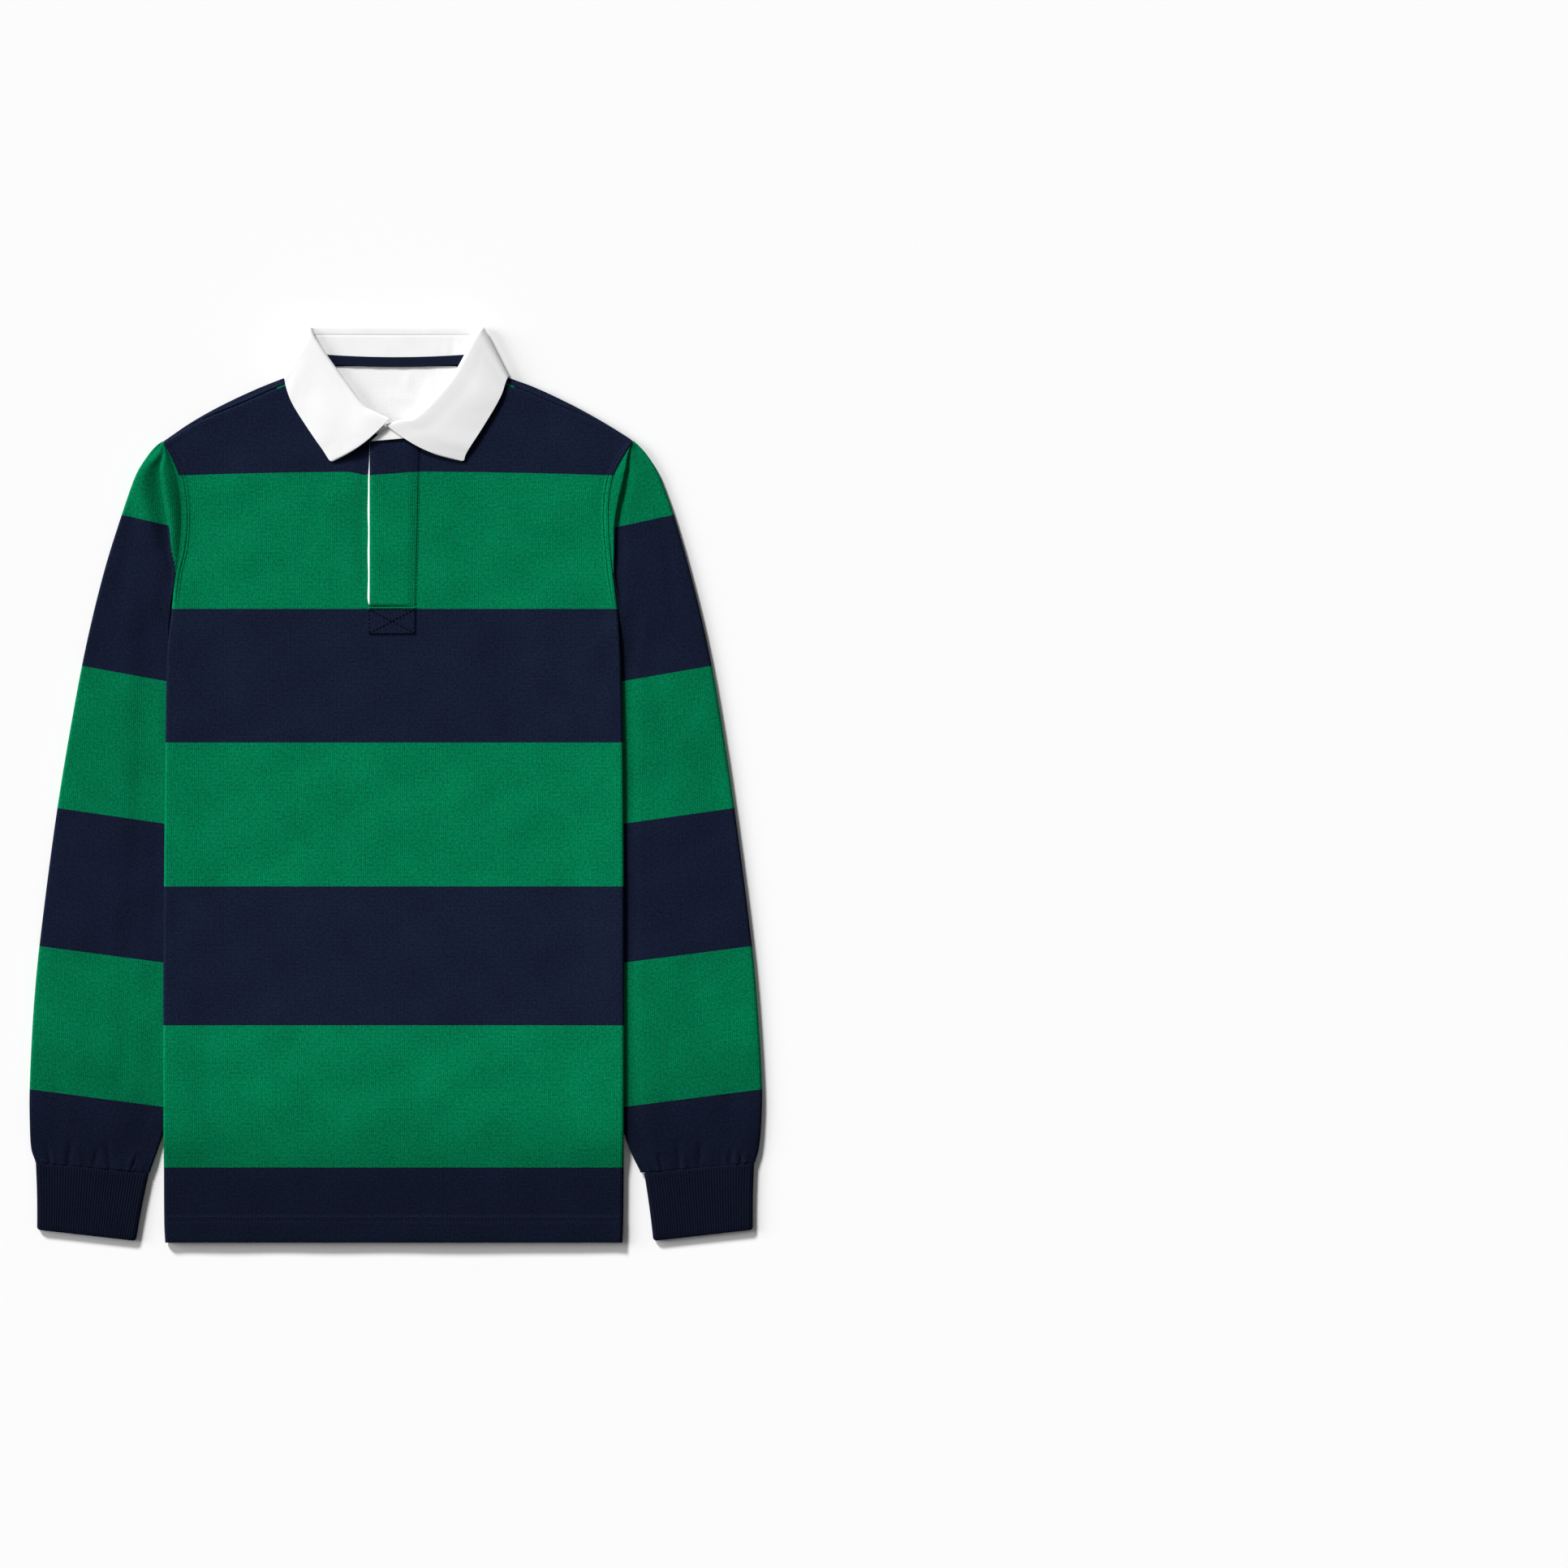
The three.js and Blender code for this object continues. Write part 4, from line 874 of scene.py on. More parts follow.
# %% Make the back
points = panel_points(False, 96, 120, back_relief)[:, ::-1]
body_back = cloth_piece("body_back", points, body_cloth(points), BODY_JERSEY, "hooped_jersey", JERSEY)

# %% [markdown]
# ## Sleeves
#
# A sleeve is a loop of points at each height: from its inner edge over the front to the outer
# edge, and back underneath. Below the armpit the loop closes into a tube; above it the loop is
# open and its two edges meet the armhole. Beside the armhole the sleeve's cloth doubles over in
# a fold. Its strip next to the seam stands higher, and its hoops don't meet those outside the
# fold, because the cloth between them is tucked in.

# %% Sleeve shape
sleeve_outer = {side: curve(SLEEVE_OUTER, "y", side) for side in ("left", "right")}
sleeve_tuck = {side: curve(SLEEVE_TUCK, "y", side) for side in ("left", "right")}
sleeve_fold = {
    side: {name: curve(SLEEVE_FOLD[side], "y", name) for name in FOLD_COLUMNS.split()[1:]}
    for side in ("left", "right")
}
LOWERED = {"left": {"flat": 16, "ramp": 26}, "right": {"flat": 9, "ramp": 16}}
SLANT = 13.0
CUFF_SLANT = 9.0
SLEEVE_END_Y = -334.9
TIP_RADIUS = BODY_HEIGHT / 2
FOLD_SHIFT = 38.0
HOOP_SLANTS = table("y slant", (-279, 16), (-155, 15.3), (-35, 14.7), (87, 14.7), (220, 12))
hoop_slant = curve(HOOP_SLANTS, "y", "slant")
GATHERS = table(
    "across width height reach",
    (0.09, 0.022, 0.7, 14), (0.16, 0.026, 1.0, 24), (0.25, 0.030, 0.8, 17), (0.37, 0.034, 1.0, 26),
    (0.49, 0.028, 0.5, 13), (0.62, 0.032, 0.9, 22), (0.73, 0.024, 0.5, 15), (0.83, 0.034, 1.0, 25),
    (0.92, 0.022, 0.6, 14),
)


def inner_edge(side, y):
    outwards = -1 if side == "left" else 1
    at_armhole = side_x(side, y) + outwards * SEAM_GAP
    return np.where(y >= ARMPIT_Y, at_armhole, side_x(side, y) - outwards * sleeve_tuck[side](y))


def slant_at(y):
    upper = SLANT * smooth((TIP_Y - y) / 60)
    return lerp(CUFF_SLANT, upper, smooth((y - SLEEVE_END_Y) / 60))


def gathers(t, y):
    height = -0.3 * (1 - smooth((y - SLEEVE_END_Y) / 20))
    for row in GATHERS:
        fade = 1 - smooth((y - SLEEVE_END_Y) / row["reach"])
        height = height + row["height"] * fade * np.exp(-(((t - row["across"]) / row["width"]) ** 2))
    return height


# %% [markdown]
# The fold's section runs over four stops: the fold's crest, the valley beyond, the swell of the
# sleeve's cap and the flat sleeve. Behind the crest a strip rounds down to the seam. The wall from
# crest to valley is steep. On the left it catches the light, and the strip lies in shade. On the
# right it throws a shadow.

# %% Height of a sleeve's front
def between_stops(d, stops):
    """A smooth step from each stop to the next: stops are (distance, height) pairs of arrays."""
    z = stops[0][1] + 0 * d
    for (d0, z0), (d1, z1) in zip(stops, stops[1:]):
        z = z + (z1 - z0) * smooth((d - d0) / np.maximum(d1 - d0, 0.01))
    return z


def sleeve_top(side, y, d, width, crest, squeeze):
    beside = smooth((ARMPIT_Y + 10 - y) / 30) * smooth((y + 330) / 20)
    lowered = beside * (1 - smooth((d - LOWERED[side]["flat"]) / LOWERED[side]["ramp"]))
    plain = lerp(SLEEVE_HEIGHT, SLEEVE_UNDER_BODY - 0.1, lowered) + gathers(1 - d / width, y)
    get = {name: at(np.maximum(y, ARMPIT_Y)) for name, at in sleeve_fold[side].items()}
    beyond = crest + get["reach"] * squeeze
    stops = [
        (crest * 0.93, get["top"]), (crest + 1.7 * squeeze, get["valley"]),
        (beyond, get["beyond"]), (beyond + 19 * squeeze, SLEEVE_HEIGHT),
    ]
    strip = np.sin(np.pi / 2 * np.clip((d / crest - 0.16) / 0.77, 0, 1))
    folded = between_stops(d, stops) - (get["top"] - get["seam"]) * (1 - strip)
    return lerp(plain, folded, smooth((y - ARMPIT_Y) / 12))


# %% Loops of a sleeve
CUFF_ROWS = {"height": 30, "count": 20}
NEAR_SEAM = {"width": 34, "count": 44, "power": 1.4}
FAR_COUNT = 36
CAP_WIDTH = 46


def sleeve_points(side, count_up):
    fine_top = SLEEVE_END_Y + CUFF_ROWS["height"]
    cuff_rows = np.linspace(SLEEVE_END_Y, fine_top, CUFF_ROWS["count"], endpoint=False)
    upper_rows = np.linspace(fine_top, TIP_Y - TIP_RADIUS - 1.5, count_up)
    plain_rows = [(1.0, y) for y in np.concatenate([cuff_rows, upper_rows])]
    tip_rows = [
        (max(0.1, math.sin(a)), TIP_Y - TIP_RADIUS * (1 - math.cos(a))) for a in EDGE_ANGLES[::-1]
    ]
    rows = np.array(plain_rows + tip_rows)
    tip_keep, y = rows[:, 0:1], rows[:, 1:2]
    outer_y = y + slant_at(y)
    outer_x = sleeve_outer[side](outer_y)
    inner_x = inner_edge(side, y)
    width = np.hypot(outer_x - inner_x, outer_y - y)
    opened = smooth((y - ARMPIT_Y) / 25)
    squeeze = np.minimum(1.0, width / CAP_WIDTH)
    crest = sleeve_fold[side]["crest"](np.maximum(y, ARMPIT_Y)) * np.minimum(1.0, squeeze * 1.5)
    near = NEAR_SEAM["width"] * squeeze
    outer_radius = lerp(SLEEVE_HEIGHT / 2, TIP_RADIUS, smooth((y - 240) / 50)) * squeeze
    shares = (np.arange(NEAR_SEAM["count"]) / NEAR_SEAM["count"]) ** NEAR_SEAM["power"]
    front_near = near * shares[None, :]
    front_far = lerp(near, width - outer_radius, np.linspace(0, 1, FAR_COUNT)[None, :])
    arc = outer_radius * (1 - np.cos(EDGE_ANGLES))[None, :]
    front_d = np.concatenate([front_near, front_far, (width - arc)[:, ::-1][:, 1:]], axis=1)
    back_d = np.concatenate([(width - arc)[:, 1:], front_far[:, ::-3][:, 1:], front_near[:, ::-4]], axis=1)
    back_d[:, -1] = 0.0
    radius = SLEEVE_UNDER_BODY / 2 * squeeze

    def keep(d):
        inside = np.sqrt(np.clip(1 - (1 - np.clip(d / radius, 0, 1)) ** 2, 0, 1))
        outside = np.sqrt(np.clip(1 - (1 - np.clip((width - d) / outer_radius, 0, 1)) ** 2, 0, 1))
        return lerp(inside, 1.0, opened) * outside * tip_keep

    def place(d, is_front):
        t = d / width
        x, py = lerp(inner_x, outer_x, t), lerp(y, outer_y, t)
        high = sleeve_top(side, y, d, width, crest, squeeze)
        soft = trough(x, py, SLEEVE_CREASES) + swell(x, py)
        soft = soft * smooth(d / 12 - 0.5) * smooth((width - d) / 12)
        soft = soft * smooth((TIP_Y - 20 - y) / 40) + 1.5 * trough(x, py, CUFF_CREASES)
        z = lerp(high / 2, high + soft if is_front else 0.0, keep(d))
        on_strip = smooth((crest + 0.4 - d) / 0.8) * smooth((y - ARMPIT_Y) / 5) if is_front else 0.0
        hoop = py - hoop_slant(y) * t + FOLD_SHIFT * on_strip
        around = d if is_front else 2 * width - d
        return np.stack([x, py, z], axis=-1), np.stack([around + 0 * hoop, hoop], axis=-1)

    front, front_cloth = place(front_d, True)
    back, back_cloth = place(back_d, False)
    points = np.concatenate([front, back], axis=1)
    cloth = np.concatenate([front_cloth, back_cloth], axis=1)
    return (points, cloth) if side == "right" else (points[:, ::-1], cloth[:, ::-1])


# %% Make the sleeves
for side in ("left", "right"):
    points, cloth = sleeve_points(side, 170)
    sleeve = cloth_piece(
        "sleeve_" + side, points, cloth, SLEEVE_JERSEY, "hooped_jersey", JERSEY, join=True
    )

# %% [markdown]
# ## Cuffs
#
# A cuff is a band of rib knit, folded double and sewn into a tube. Ribs stand up where the knit
# stitches come forward. Each is a rounded ridge of the outer face, and the inside stays plain.

# %% Cuff shape
CUFF_TOP = {"left": (-309.8, -213.4), "right": (308.3, 214.6), "y": (-326.2, -335.2)}
CUFF_BOTTOM = {"left": (-308.7, -224.6), "right": (307.2, 222.5), "y": (-384.3, -393.6)}
RIB_PITCH = 2.4
RIB_HEIGHT = 0.45
RIB_STEPS = 6


def cuff_points(side):
    down = np.array([
        -0.04, -0.004, 0, 0.012, 0.03, 0.06, 0.1, 0.2, 0.35, 0.5, 0.65, 0.8, 0.9, 0.96, 0.985, 1.0,
    ])[:, None]
    inside = np.where(down < 0, 1.0, 0.0)
    outwards = -1 if side == "left" else 1
    drawn_in = 1.8 * np.clip((down - 0.965) / 0.035, 0, 1) ** 2
    waist = 0.5 * np.sin(np.pi * down) - 0.6 + 2.2 * inside
    outer_x = lerp(CUFF_TOP[side][0], CUFF_BOTTOM[side][0], down) - outwards * (drawn_in + waist)
    inner_x = lerp(CUFF_TOP[side][1], CUFF_BOTTOM[side][1], down) + outwards * (drawn_in + waist)
    outer_y, inner_y = (lerp(CUFF_TOP["y"][k], CUFF_BOTTOM["y"][k], down) for k in (0, 1))
    width = np.hypot(outer_x - inner_x, outer_y - inner_y)
    radius = CUFF_HEIGHT / 2
    ribs = round((abs(CUFF_TOP[side][0] - CUFF_TOP[side][1]) - 2 * radius) / RIB_PITCH)
    turns = np.arange(ribs * RIB_STEPS + 1)[None, :] / RIB_STEPS
    flat_d = lerp(radius, width - radius, turns / ribs)
    arc = (radius * (1 - np.cos(EDGE_ANGLES[:-1])))[None, :] + 0 * down
    front_d = np.concatenate([arc, flat_d, (width - arc)[:, ::-1]], axis=1)
    edge = np.sin(EDGE_ANGLES[:-1])[None, :] + 0 * down
    keep = np.concatenate([edge, 1 + 0 * flat_d, edge[:, ::-1]], axis=1) * lerp(1.0, 0.4, inside)
    ends = 1 - 0.8 * smooth((0.03 - down) / 0.03) - 0.6 * smooth((down - 0.97) / 0.03)
    rib = RIB_HEIGHT * (0.5 - 0.5 * np.cos(TURN * turns)) * ends
    ribbed = np.concatenate([0 * arc, rib, 0 * arc], axis=1)
    roll = 0.7 * smooth((down - 0.975) / 0.025) + 0.5 * smooth((0.02 - down) / 0.02)
    high = CUFF_HEIGHT - roll + ribbed
    front = np.stack([
        lerp(inner_x, outer_x, front_d / width), lerp(inner_y, outer_y, front_d / width),
        lerp(CUFF_HEIGHT / 2, high, keep),
    ], axis=-1)
    back_d = np.concatenate([(width - arc)[:, 1:], flat_d[:, ::-RIB_STEPS], arc[:, ::-1]], axis=1)
    back_keep = np.concatenate([edge[:, 1:], 1 + 0 * flat_d[:, ::-RIB_STEPS], edge[:, ::-1]], axis=1)
    back_keep = back_keep * lerp(1.0, 0.4, inside)
    back = np.stack([
        lerp(inner_x, outer_x, back_d / width), lerp(inner_y, outer_y, back_d / width),
        lerp(CUFF_HEIGHT / 2, 0.0, back_keep),
    ], axis=-1)
    points = np.concatenate([front, back], axis=1)
    around = np.concatenate([front_d, 2 * width - back_d], axis=1)
    cloth = np.stack([around, 60 * (1 - down) + 0 * around], axis=-1)
    return (points[::-1], cloth[::-1]) if side == "right" else (points[::-1, ::-1], cloth[::-1, ::-1])


# %% Make the cuffs
for side in ("left", "right"):
    points, cloth = cuff_points(side)
    cuff = cloth_piece("cuff_" + side, points, cloth, CUFF_RIB, "navy_rib", JERSEY, rim=0.0, join=True)

# %% [markdown]
# ## Collar
#
# The collar is a band sewn round the neck, the stand, with a second piece that turns over it, the
# fall. Each row of the table is a section of it, from the middle of the back round to the front
# end: the rolled edge on top, the free edge of the fall, the seam on the neck, and the way the
# outer face looks. A smooth curve through the rows gives as many sections as the shell needs.

# %% Collar table
COLLAR_NAMES = "rollX rollY rollZ fallX fallY fallZ seamX seamY seamZ tilt bend bow under"
COLLAR_LEFT = table(
    COLLAR_NAMES,
    (0, 395.2, 2.6, 0, 352.4, 0.8, 0, 361.8, 4.4, -90, 1.8, 0, 1),
    (-36, 395.3, 2.6, -46, 352.4, 0.8, -35, 362.2, 4.4, -90, 1.8, 0, 1),
    (-66, 395.3, 2.6, -84, 352.4, 0.8, -62, 363.6, 4.4, -90, 1.8, 0, 1),
    (-72.0, 394.9, 3.3, -92.5, 352.2, 1.5, -67.5, 364.0, 5.1, -60, 1.8, 0, 1),
    (-74.2, 393.8, 5.9, -95.8, 351.6, 4.6, -69.8, 364.2, 6.1, 0, 1.8, 0, 1),
    (-72.6, 391.4, 8.9, -95.6, 349.6, 7.6, -68.9, 363.0, 7.2, 60, 1.8, 0, 1),
    (-67.4, 382.2, 9.5, -94.4, 343.0, 7.5, -68.8, 355.0, 7.3, 90, 1.8, 0, 1),
    (-57.6, 367.6, 9.6, -90.4, 331.0, 7.4, -67.9, 340.6, 7.3, 90, 1.8, 0, 1),
    (-43, 347.6, 10.0, -83.4, 318.5, 7.4, -61.8, 325.4, 7.3, 90, 1.8, 0, 1),
    (-27, 326.6, 11.0, -70.2, 298.6, 7.4, -44.2, 309.0, 7.4, 90, 1.8, 0, 1),
    (-16, 319.8, 11.8, -62.6, 287.8, 7.4, -30.0, 302.0, 7.4, 90, 1.8, 1.5, 0.5),
    (-4.4, 314.4, 12.4, -55.9, 277.2, 7.4, -22.0, 298.0, 7.4, 90, 1.4, 3.4, 0),
)
COLLAR_RIGHT = table(
    COLLAR_NAMES,
    (36, 395.3, 2.6, 46, 352.4, 0.8, 35, 362.2, 4.4, -90, 1.8, 0, 1),
    (66, 395.3, 2.6, 84, 352.4, 0.8, 62, 363.6, 4.4, -90, 1.8, 0, 1),
    (71.8, 394.9, 3.3, 92.9, 352.2, 1.5, 67.5, 364.0, 5.1, -60, 1.8, 0, 1),
    (73.6, 393.8, 5.9, 96.4, 351.6, 4.6, 69.8, 364.2, 6.1, 0, 1.8, 0, 1),
    (71.8, 391.4, 8.9, 96.2, 349.6, 7.6, 68.9, 363.0, 7.2, 60, 1.8, 0, 1),
    (66.8, 383.0, 9.5, 94.2, 344.0, 7.9, 68.8, 355.4, 7.3, 90, 1.8, 0, 1),
    (59.8, 370.0, 9.6, 91.2, 335.0, 8.2, 68.2, 341.6, 7.3, 90, 1.8, 0, 1),
    (47.6, 349.4, 10.0, 84.6, 322.6, 8.5, 64.0, 328.4, 7.3, 90, 1.8, 0, 1),
    (29.6, 328.4, 10.2, 73.6, 304.6, 8.5, 45.0, 309.6, 7.6, 90, 1.7, 0, 1),
    (15.4, 315.4, 10.8, 65.4, 292.0, 8.4, 20.0, 299.6, 9.6, 90, 1.3, 1.5, 1),
    (4.6, 313.2, 10.8, 60.6, 284.0, 8.0, 4.0, 297.4, 9.6, 90, 1.1, 3.0, 1),
    (-8.4, 309.6, 10.7, 58.9, 278.0, 7.4, -21.0, 295.2, 9.6, 90, 1.1, 5.0, 1),
)
LAST_LEFT = 1 - len(COLLAR_LEFT)
LAST_RIGHT = len(COLLAR_RIGHT)
LEFT_STAND_END = -9.5
STAND_TOP = 5.6
STAND_THICKNESS = 1.4
COLLAR = COLLAR_LEFT[::-1] + COLLAR_RIGHT
for station, row in enumerate(COLLAR, LAST_LEFT):
    row["station"] = station
collar_curves = {name: curve(COLLAR, "station", name) for name in COLLAR_NAMES.split()}
print("collar stations", LAST_LEFT, "to", LAST_RIGHT)


# %% Collar sections
def unit(v):
    return v / np.linalg.norm(v, axis=-1, keepdims=True)


def collar_sections(stations):
    get = {name: at(stations) for name, at in collar_curves.items()}
    roll, fall, seam = (
        np.stack([get[name + axis] for axis in "XYZ"], axis=-1) for name in ("roll", "fall", "seam")
    )
    ahead = roll - (fall + seam) / 2
    ahead[:, 2] = 0
    ahead = unit(ahead)
    sign = np.where(stations < 0, -1.0, 1.0)[:, None]
    sideways = np.stack([ahead[:, 1], -ahead[:, 0], 0 * stations], axis=-1) * sign
    tilt = np.radians(get["tilt"])[:, None]
    out = sideways * np.cos(tilt) + np.array([0, 0, 1.0]) * np.sin(tilt)
    bend = get["bend"][:, None]
    centre = roll - ahead * (bend + TWILL / 2)

    def on_bend(degrees):
        angle = np.radians(degrees)[..., None]
        return centre + out * bend * np.sin(angle) + ahead * bend * np.cos(angle)

    inwards = unit(seam - on_bend(np.full(len(stations), -90.0)))
    turning = smooth(np.abs(stations) - 2) * (1 - smooth(np.abs(stations) - 6.5))
    return {
        "fall": fall, "seam": seam, "on_bend": on_bend, "inwards": inwards, "bow": get["bow"],
        "under": np.clip(get["under"], 0, 1), "gap": 0.12 + 1.0 * turning,
    }


# %% [markdown]
# The fall is one sheet: a short stretch turned down inside, the bend, and the leaf that lies on
# the shirt. The left leaf drops late and stays full, the right one slopes evenly away from its
# roll, and both swell a little in the middle. The points of the collar are turned out round.

# %% The fall
FALL_SHARES = np.concatenate([np.linspace(0, 0.94, 25)[1:], [0.965, 0.98, 0.99, 1.0]])
BEND_STEPS = 13
POINT_ROUND = 2.4
FINE_ENDS = np.array([0.006, 0.02, 0.045, 0.075])


def fine_ended(first, last, count):
    """Even stations, with some more close to both ends."""
    return np.sort(np.concatenate([
        np.linspace(first, last, count), first + FINE_ENDS, last - FINE_ENDS,
    ]))


def fall_points(stations):
    s = collar_sections(stations)
    under = s["under"]
    start_angle = np.where(under < 1, lerp(-15, -90, under), -90.0)
    first = s["on_bend"](start_angle)
    columns = [
        first + s["inwards"] * (STAND_TOP * under * share)[:, None]
        for share in (1.0, 0.67, 0.34)
    ]
    for k in range(BEND_STEPS):
        columns.append(s["on_bend"](lerp(start_angle, 90.0, k / (BEND_STEPS - 1))))
    start = s["on_bend"](np.full(len(stations), 90.0))
    line = s["fall"] - start
    beside = np.stack([line[:, 1], -line[:, 0], 0 * stations], axis=-1)
    beside = unit(beside)
    beside = np.where(beside[:, 1:2] > 0, -beside, beside)
    lying = smooth((np.abs(stations) - 5) / 2)
    length = np.linalg.norm(line, axis=-1)
    from_end = 10.5 * np.minimum(stations - LAST_LEFT, LAST_RIGHT - stations)
    past = np.clip(1 - from_end / POINT_ROUND, 0, 1)
    reach = 1 - POINT_ROUND * (1 - np.sqrt(1 - past * past)) / length
    power = np.where(stations > 0, 1.05, 1.6)
    for share in FALL_SHARES:
        p = lerp(start, s["fall"], (share * reach)[:, None])
        p[:, 2] = lerp(start[:, 2], s["fall"][:, 2], share ** power)
        p = p + beside * (s["bow"] * math.sin(math.pi * share))[:, None]
        dent = np.exp(-(((share * length - 13.0) / 6.0) ** 2)) * 0.15
        swelling = 0.3 * math.sin(math.pi * share)
        soft = 0.2 * np.sin(stations * 2.3 + 4 * share) * share
        p[:, 2] += lying * (swelling - dent + np.maximum(soft, -0.1))
        columns.append(p)
    return np.stack(columns, axis=1)


def cloth_metres(points):
    """Length along the rows and across them, in mm, for the UV of a curved piece."""
    across = np.linalg.norm(np.diff(points, axis=1), axis=-1).cumsum(axis=1)
    along = np.linalg.norm(np.diff(points, axis=0), axis=-1).mean(axis=1).cumsum()
    across = np.concatenate([np.zeros((len(points), 1)), across], axis=1)
    along = np.concatenate([[0.0], along])[:, None] + 0 * across
    return np.stack([along, across], axis=-1)


points = fall_points(fine_ended(LAST_LEFT, LAST_RIGHT, 231))
collar_fall = cloth_piece(
    "collar_fall", points, cloth_metres(points), COLLAR_TWILL, "white_twill", TWILL, offset=0.0, rim=0.55
)


# %% The stand
def stand_points(stations):
    s = collar_sections(stations)
    top = s["on_bend"](np.full(len(stations), -90.0))
    start = top + s["inwards"] * (STAND_TOP + s["gap"])[:, None]
    pucker = 0.25 * np.sin(stations * 21.0) * np.exp(-(((stations - 1.6) / 0.5) ** 2))
    columns = []
    for share in np.linspace(0, 1, 12):
        p = lerp(start, s["seam"], share)
        p[:, 2] += pucker * math.sin(math.pi * share)
        columns.append(p)
    return np.stack(columns, axis=1)


points = stand_points(np.linspace(LEFT_STAND_END, LAST_RIGHT, 216))
collar_stand = cloth_piece(
    "collar_stand", points, cloth_metres(points), COLLAR_TWILL, "white_twill", STAND_THICKNESS, offset=0.0
)

# %% [markdown]
# ## Placket
#
# The opening at the front is closed by two plackets, one on the other. The upper one is cut from
# the hooped jersey. Its left edge is free and its right edge is stitched down, and its fold ends
# just above a box of stitches with a cross. A white edge of the lower placket shows beside it.

# %% Placket shape
PLACKET = {"left": -22.4, "right_top": 21.4, "right_bottom": 17.5, "top": 299.0, "bottom": 128.6}
BOX_WIDER = 1.5
PLACKET_FOLD_Y = 152.9
PLACKET_SAG = 3.3
PLACKET_WALL = 0.7
UNDER = {"inside": 8.4, "top": 298.4, "bottom": 154.6, "height": 0.82, "wall": 0.6}
TRIM = 1.0
TRIM_RIM = 0.25


def placket_right(y):
    up = (y - PLACKET["bottom"]) / (PLACKET["top"] - PLACKET["bottom"])
    return lerp(PLACKET["right_bottom"], PLACKET["right_top"], up)


def placket_left(y):
    return PLACKET["left"] - BOX_WIDER * smooth((PLACKET_FOLD_Y + 0.6 - y) / 1.6)


def front_skin(x, y):
    fade = smooth(side_distance(x, y) / 14)
    return body_top(x, y) + front_relief(x, y, fade)


FROM_SEAM = (0.0, 0.9, 8.0, 42.0)
FREE_LIFT = (0.25, 0.40, 1.62, 2.15)


def placket_lift(x, y):
    """How far the placket's outer face stands above the front."""
    above = y - PLACKET_FOLD_Y
    right, left = placket_right(y) - x, x - placket_left(y)
    free = np.interp(right, FROM_SEAM, FREE_LIFT)
    free += (0.08 + 0.08 * np.sin(y / 17.0 + x / 9.0)) * smooth(left / 8) * smooth(right / 6)
    free -= 0.3 * (1 - smooth(left / 1.6))
    edge = smooth(left / 0.9) * smooth((y - PLACKET["bottom"]) / 0.9) * smooth(right / 0.9)
    sewn = lerp(0.25, 0.75, edge) + 0.45 * np.exp(-(((above + 1.0) / 0.5) ** 2)) * edge
    free = lerp(np.minimum(free, 1.1), free, smooth((above - 0.2) / 1.5))
    lift = lerp(sewn, free, smooth((above + 0.2) / 0.5)) + groove(above + 0.2, 0.35, 0.35)
    return lift + groove(right - 0.9, 0.45, 0.4)


across = np.concatenate([np.linspace(0, 0.06, 8), np.linspace(0.1, 0.92, 18), np.linspace(0.94, 1, 12)])
up = np.concatenate([
    PLACKET["bottom"] + np.array([0.0, 0.4, 0.8, 1.2, 2.0]),
    np.linspace(PLACKET["bottom"] + 4, PLACKET_FOLD_Y - 2.6, 10),
    np.linspace(PLACKET_FOLD_Y - 2.2, PLACKET_FOLD_Y + 1.4, 19),
    np.linspace(PLACKET_FOLD_Y + 3, PLACKET["top"], 60),
])[:, None]
px = lerp(placket_left(up), placket_right(up), across[None, :])
py = up + 0 * px
points = np.stack([px, py, front_skin(px, py) + placket_lift(px, py)], axis=-1)
hoop_y = py + PLACKET_SAG * (1 - across[None, :]) * smooth((py - 225) / 30)
cloth = np.stack([px, hoop_y], axis=-1)
placket = cloth_piece("placket", points, cloth, BODY_JERSEY, "hooped_jersey", PLACKET_WALL, rim=TRIM_RIM)

# %% The lower placket
def under_left(y):
    """Its edge shows most half way down, and slips under the upper placket at both ends."""
    shown = smooth((UNDER["top"] - 14 - y) / 30) * smooth((y - UNDER["bottom"] + 3) / 8)
    return -22.6 - 1.35 * shown - 0.2 * np.sin(y / 6.0) * shown


up = np.linspace(UNDER["bottom"], UNDER["top"], 50)[:, None]
px = lerp(under_left(up), placket_right(up) - UNDER["inside"], np.linspace(0, 1, 9)[None, :])
py = up + 0 * px
points = np.stack([px, py, front_skin(px, py) + UNDER["height"]], axis=-1)
placket_under = cloth_piece(
    "placket_under", points, points[..., :2], COLLAR_TWILL, "white_twill", UNDER["wall"], rim=TRIM_RIM
)

# %% [markdown]
# ## Inside the neck
#
# Through the neck the inside of the back shows: a navy tape that covers the neck seam, and below
# it a white half-moon that stops the sweat. Its curved edge is sewn through the back panel.

# %% Neck tape and half-moon
TAPE = {"half": 60.5, "y": 363.6, "rise": 2.2, "width": 8.4, "thickness": 0.8, "bottom": 5.5}
PATCH = {"half": 80.0, "across": 84.0, "down": 85.0, "y": 356.0, "power": 2.7, "top": 361.5}

u, v = np.meshgrid(np.linspace(-1, 1, 61), np.linspace(-0.5, 0.5, 7))
tape_x = u * TAPE["half"]
tape_y = TAPE["y"] + TAPE["rise"] * u ** 2 + v * TAPE["width"]
tape_z = TAPE["bottom"] + TAPE["thickness"] + 0.12 * np.sin(u * 19.0) + 0 * v
points = np.stack([tape_x, tape_y, tape_z], axis=-1)
neck_tape = cloth_piece(
    "neck_tape", points, points[..., :2], TAPE_WEAVE, "navy_tape", TAPE["thickness"], rim=TRIM_RIM
)


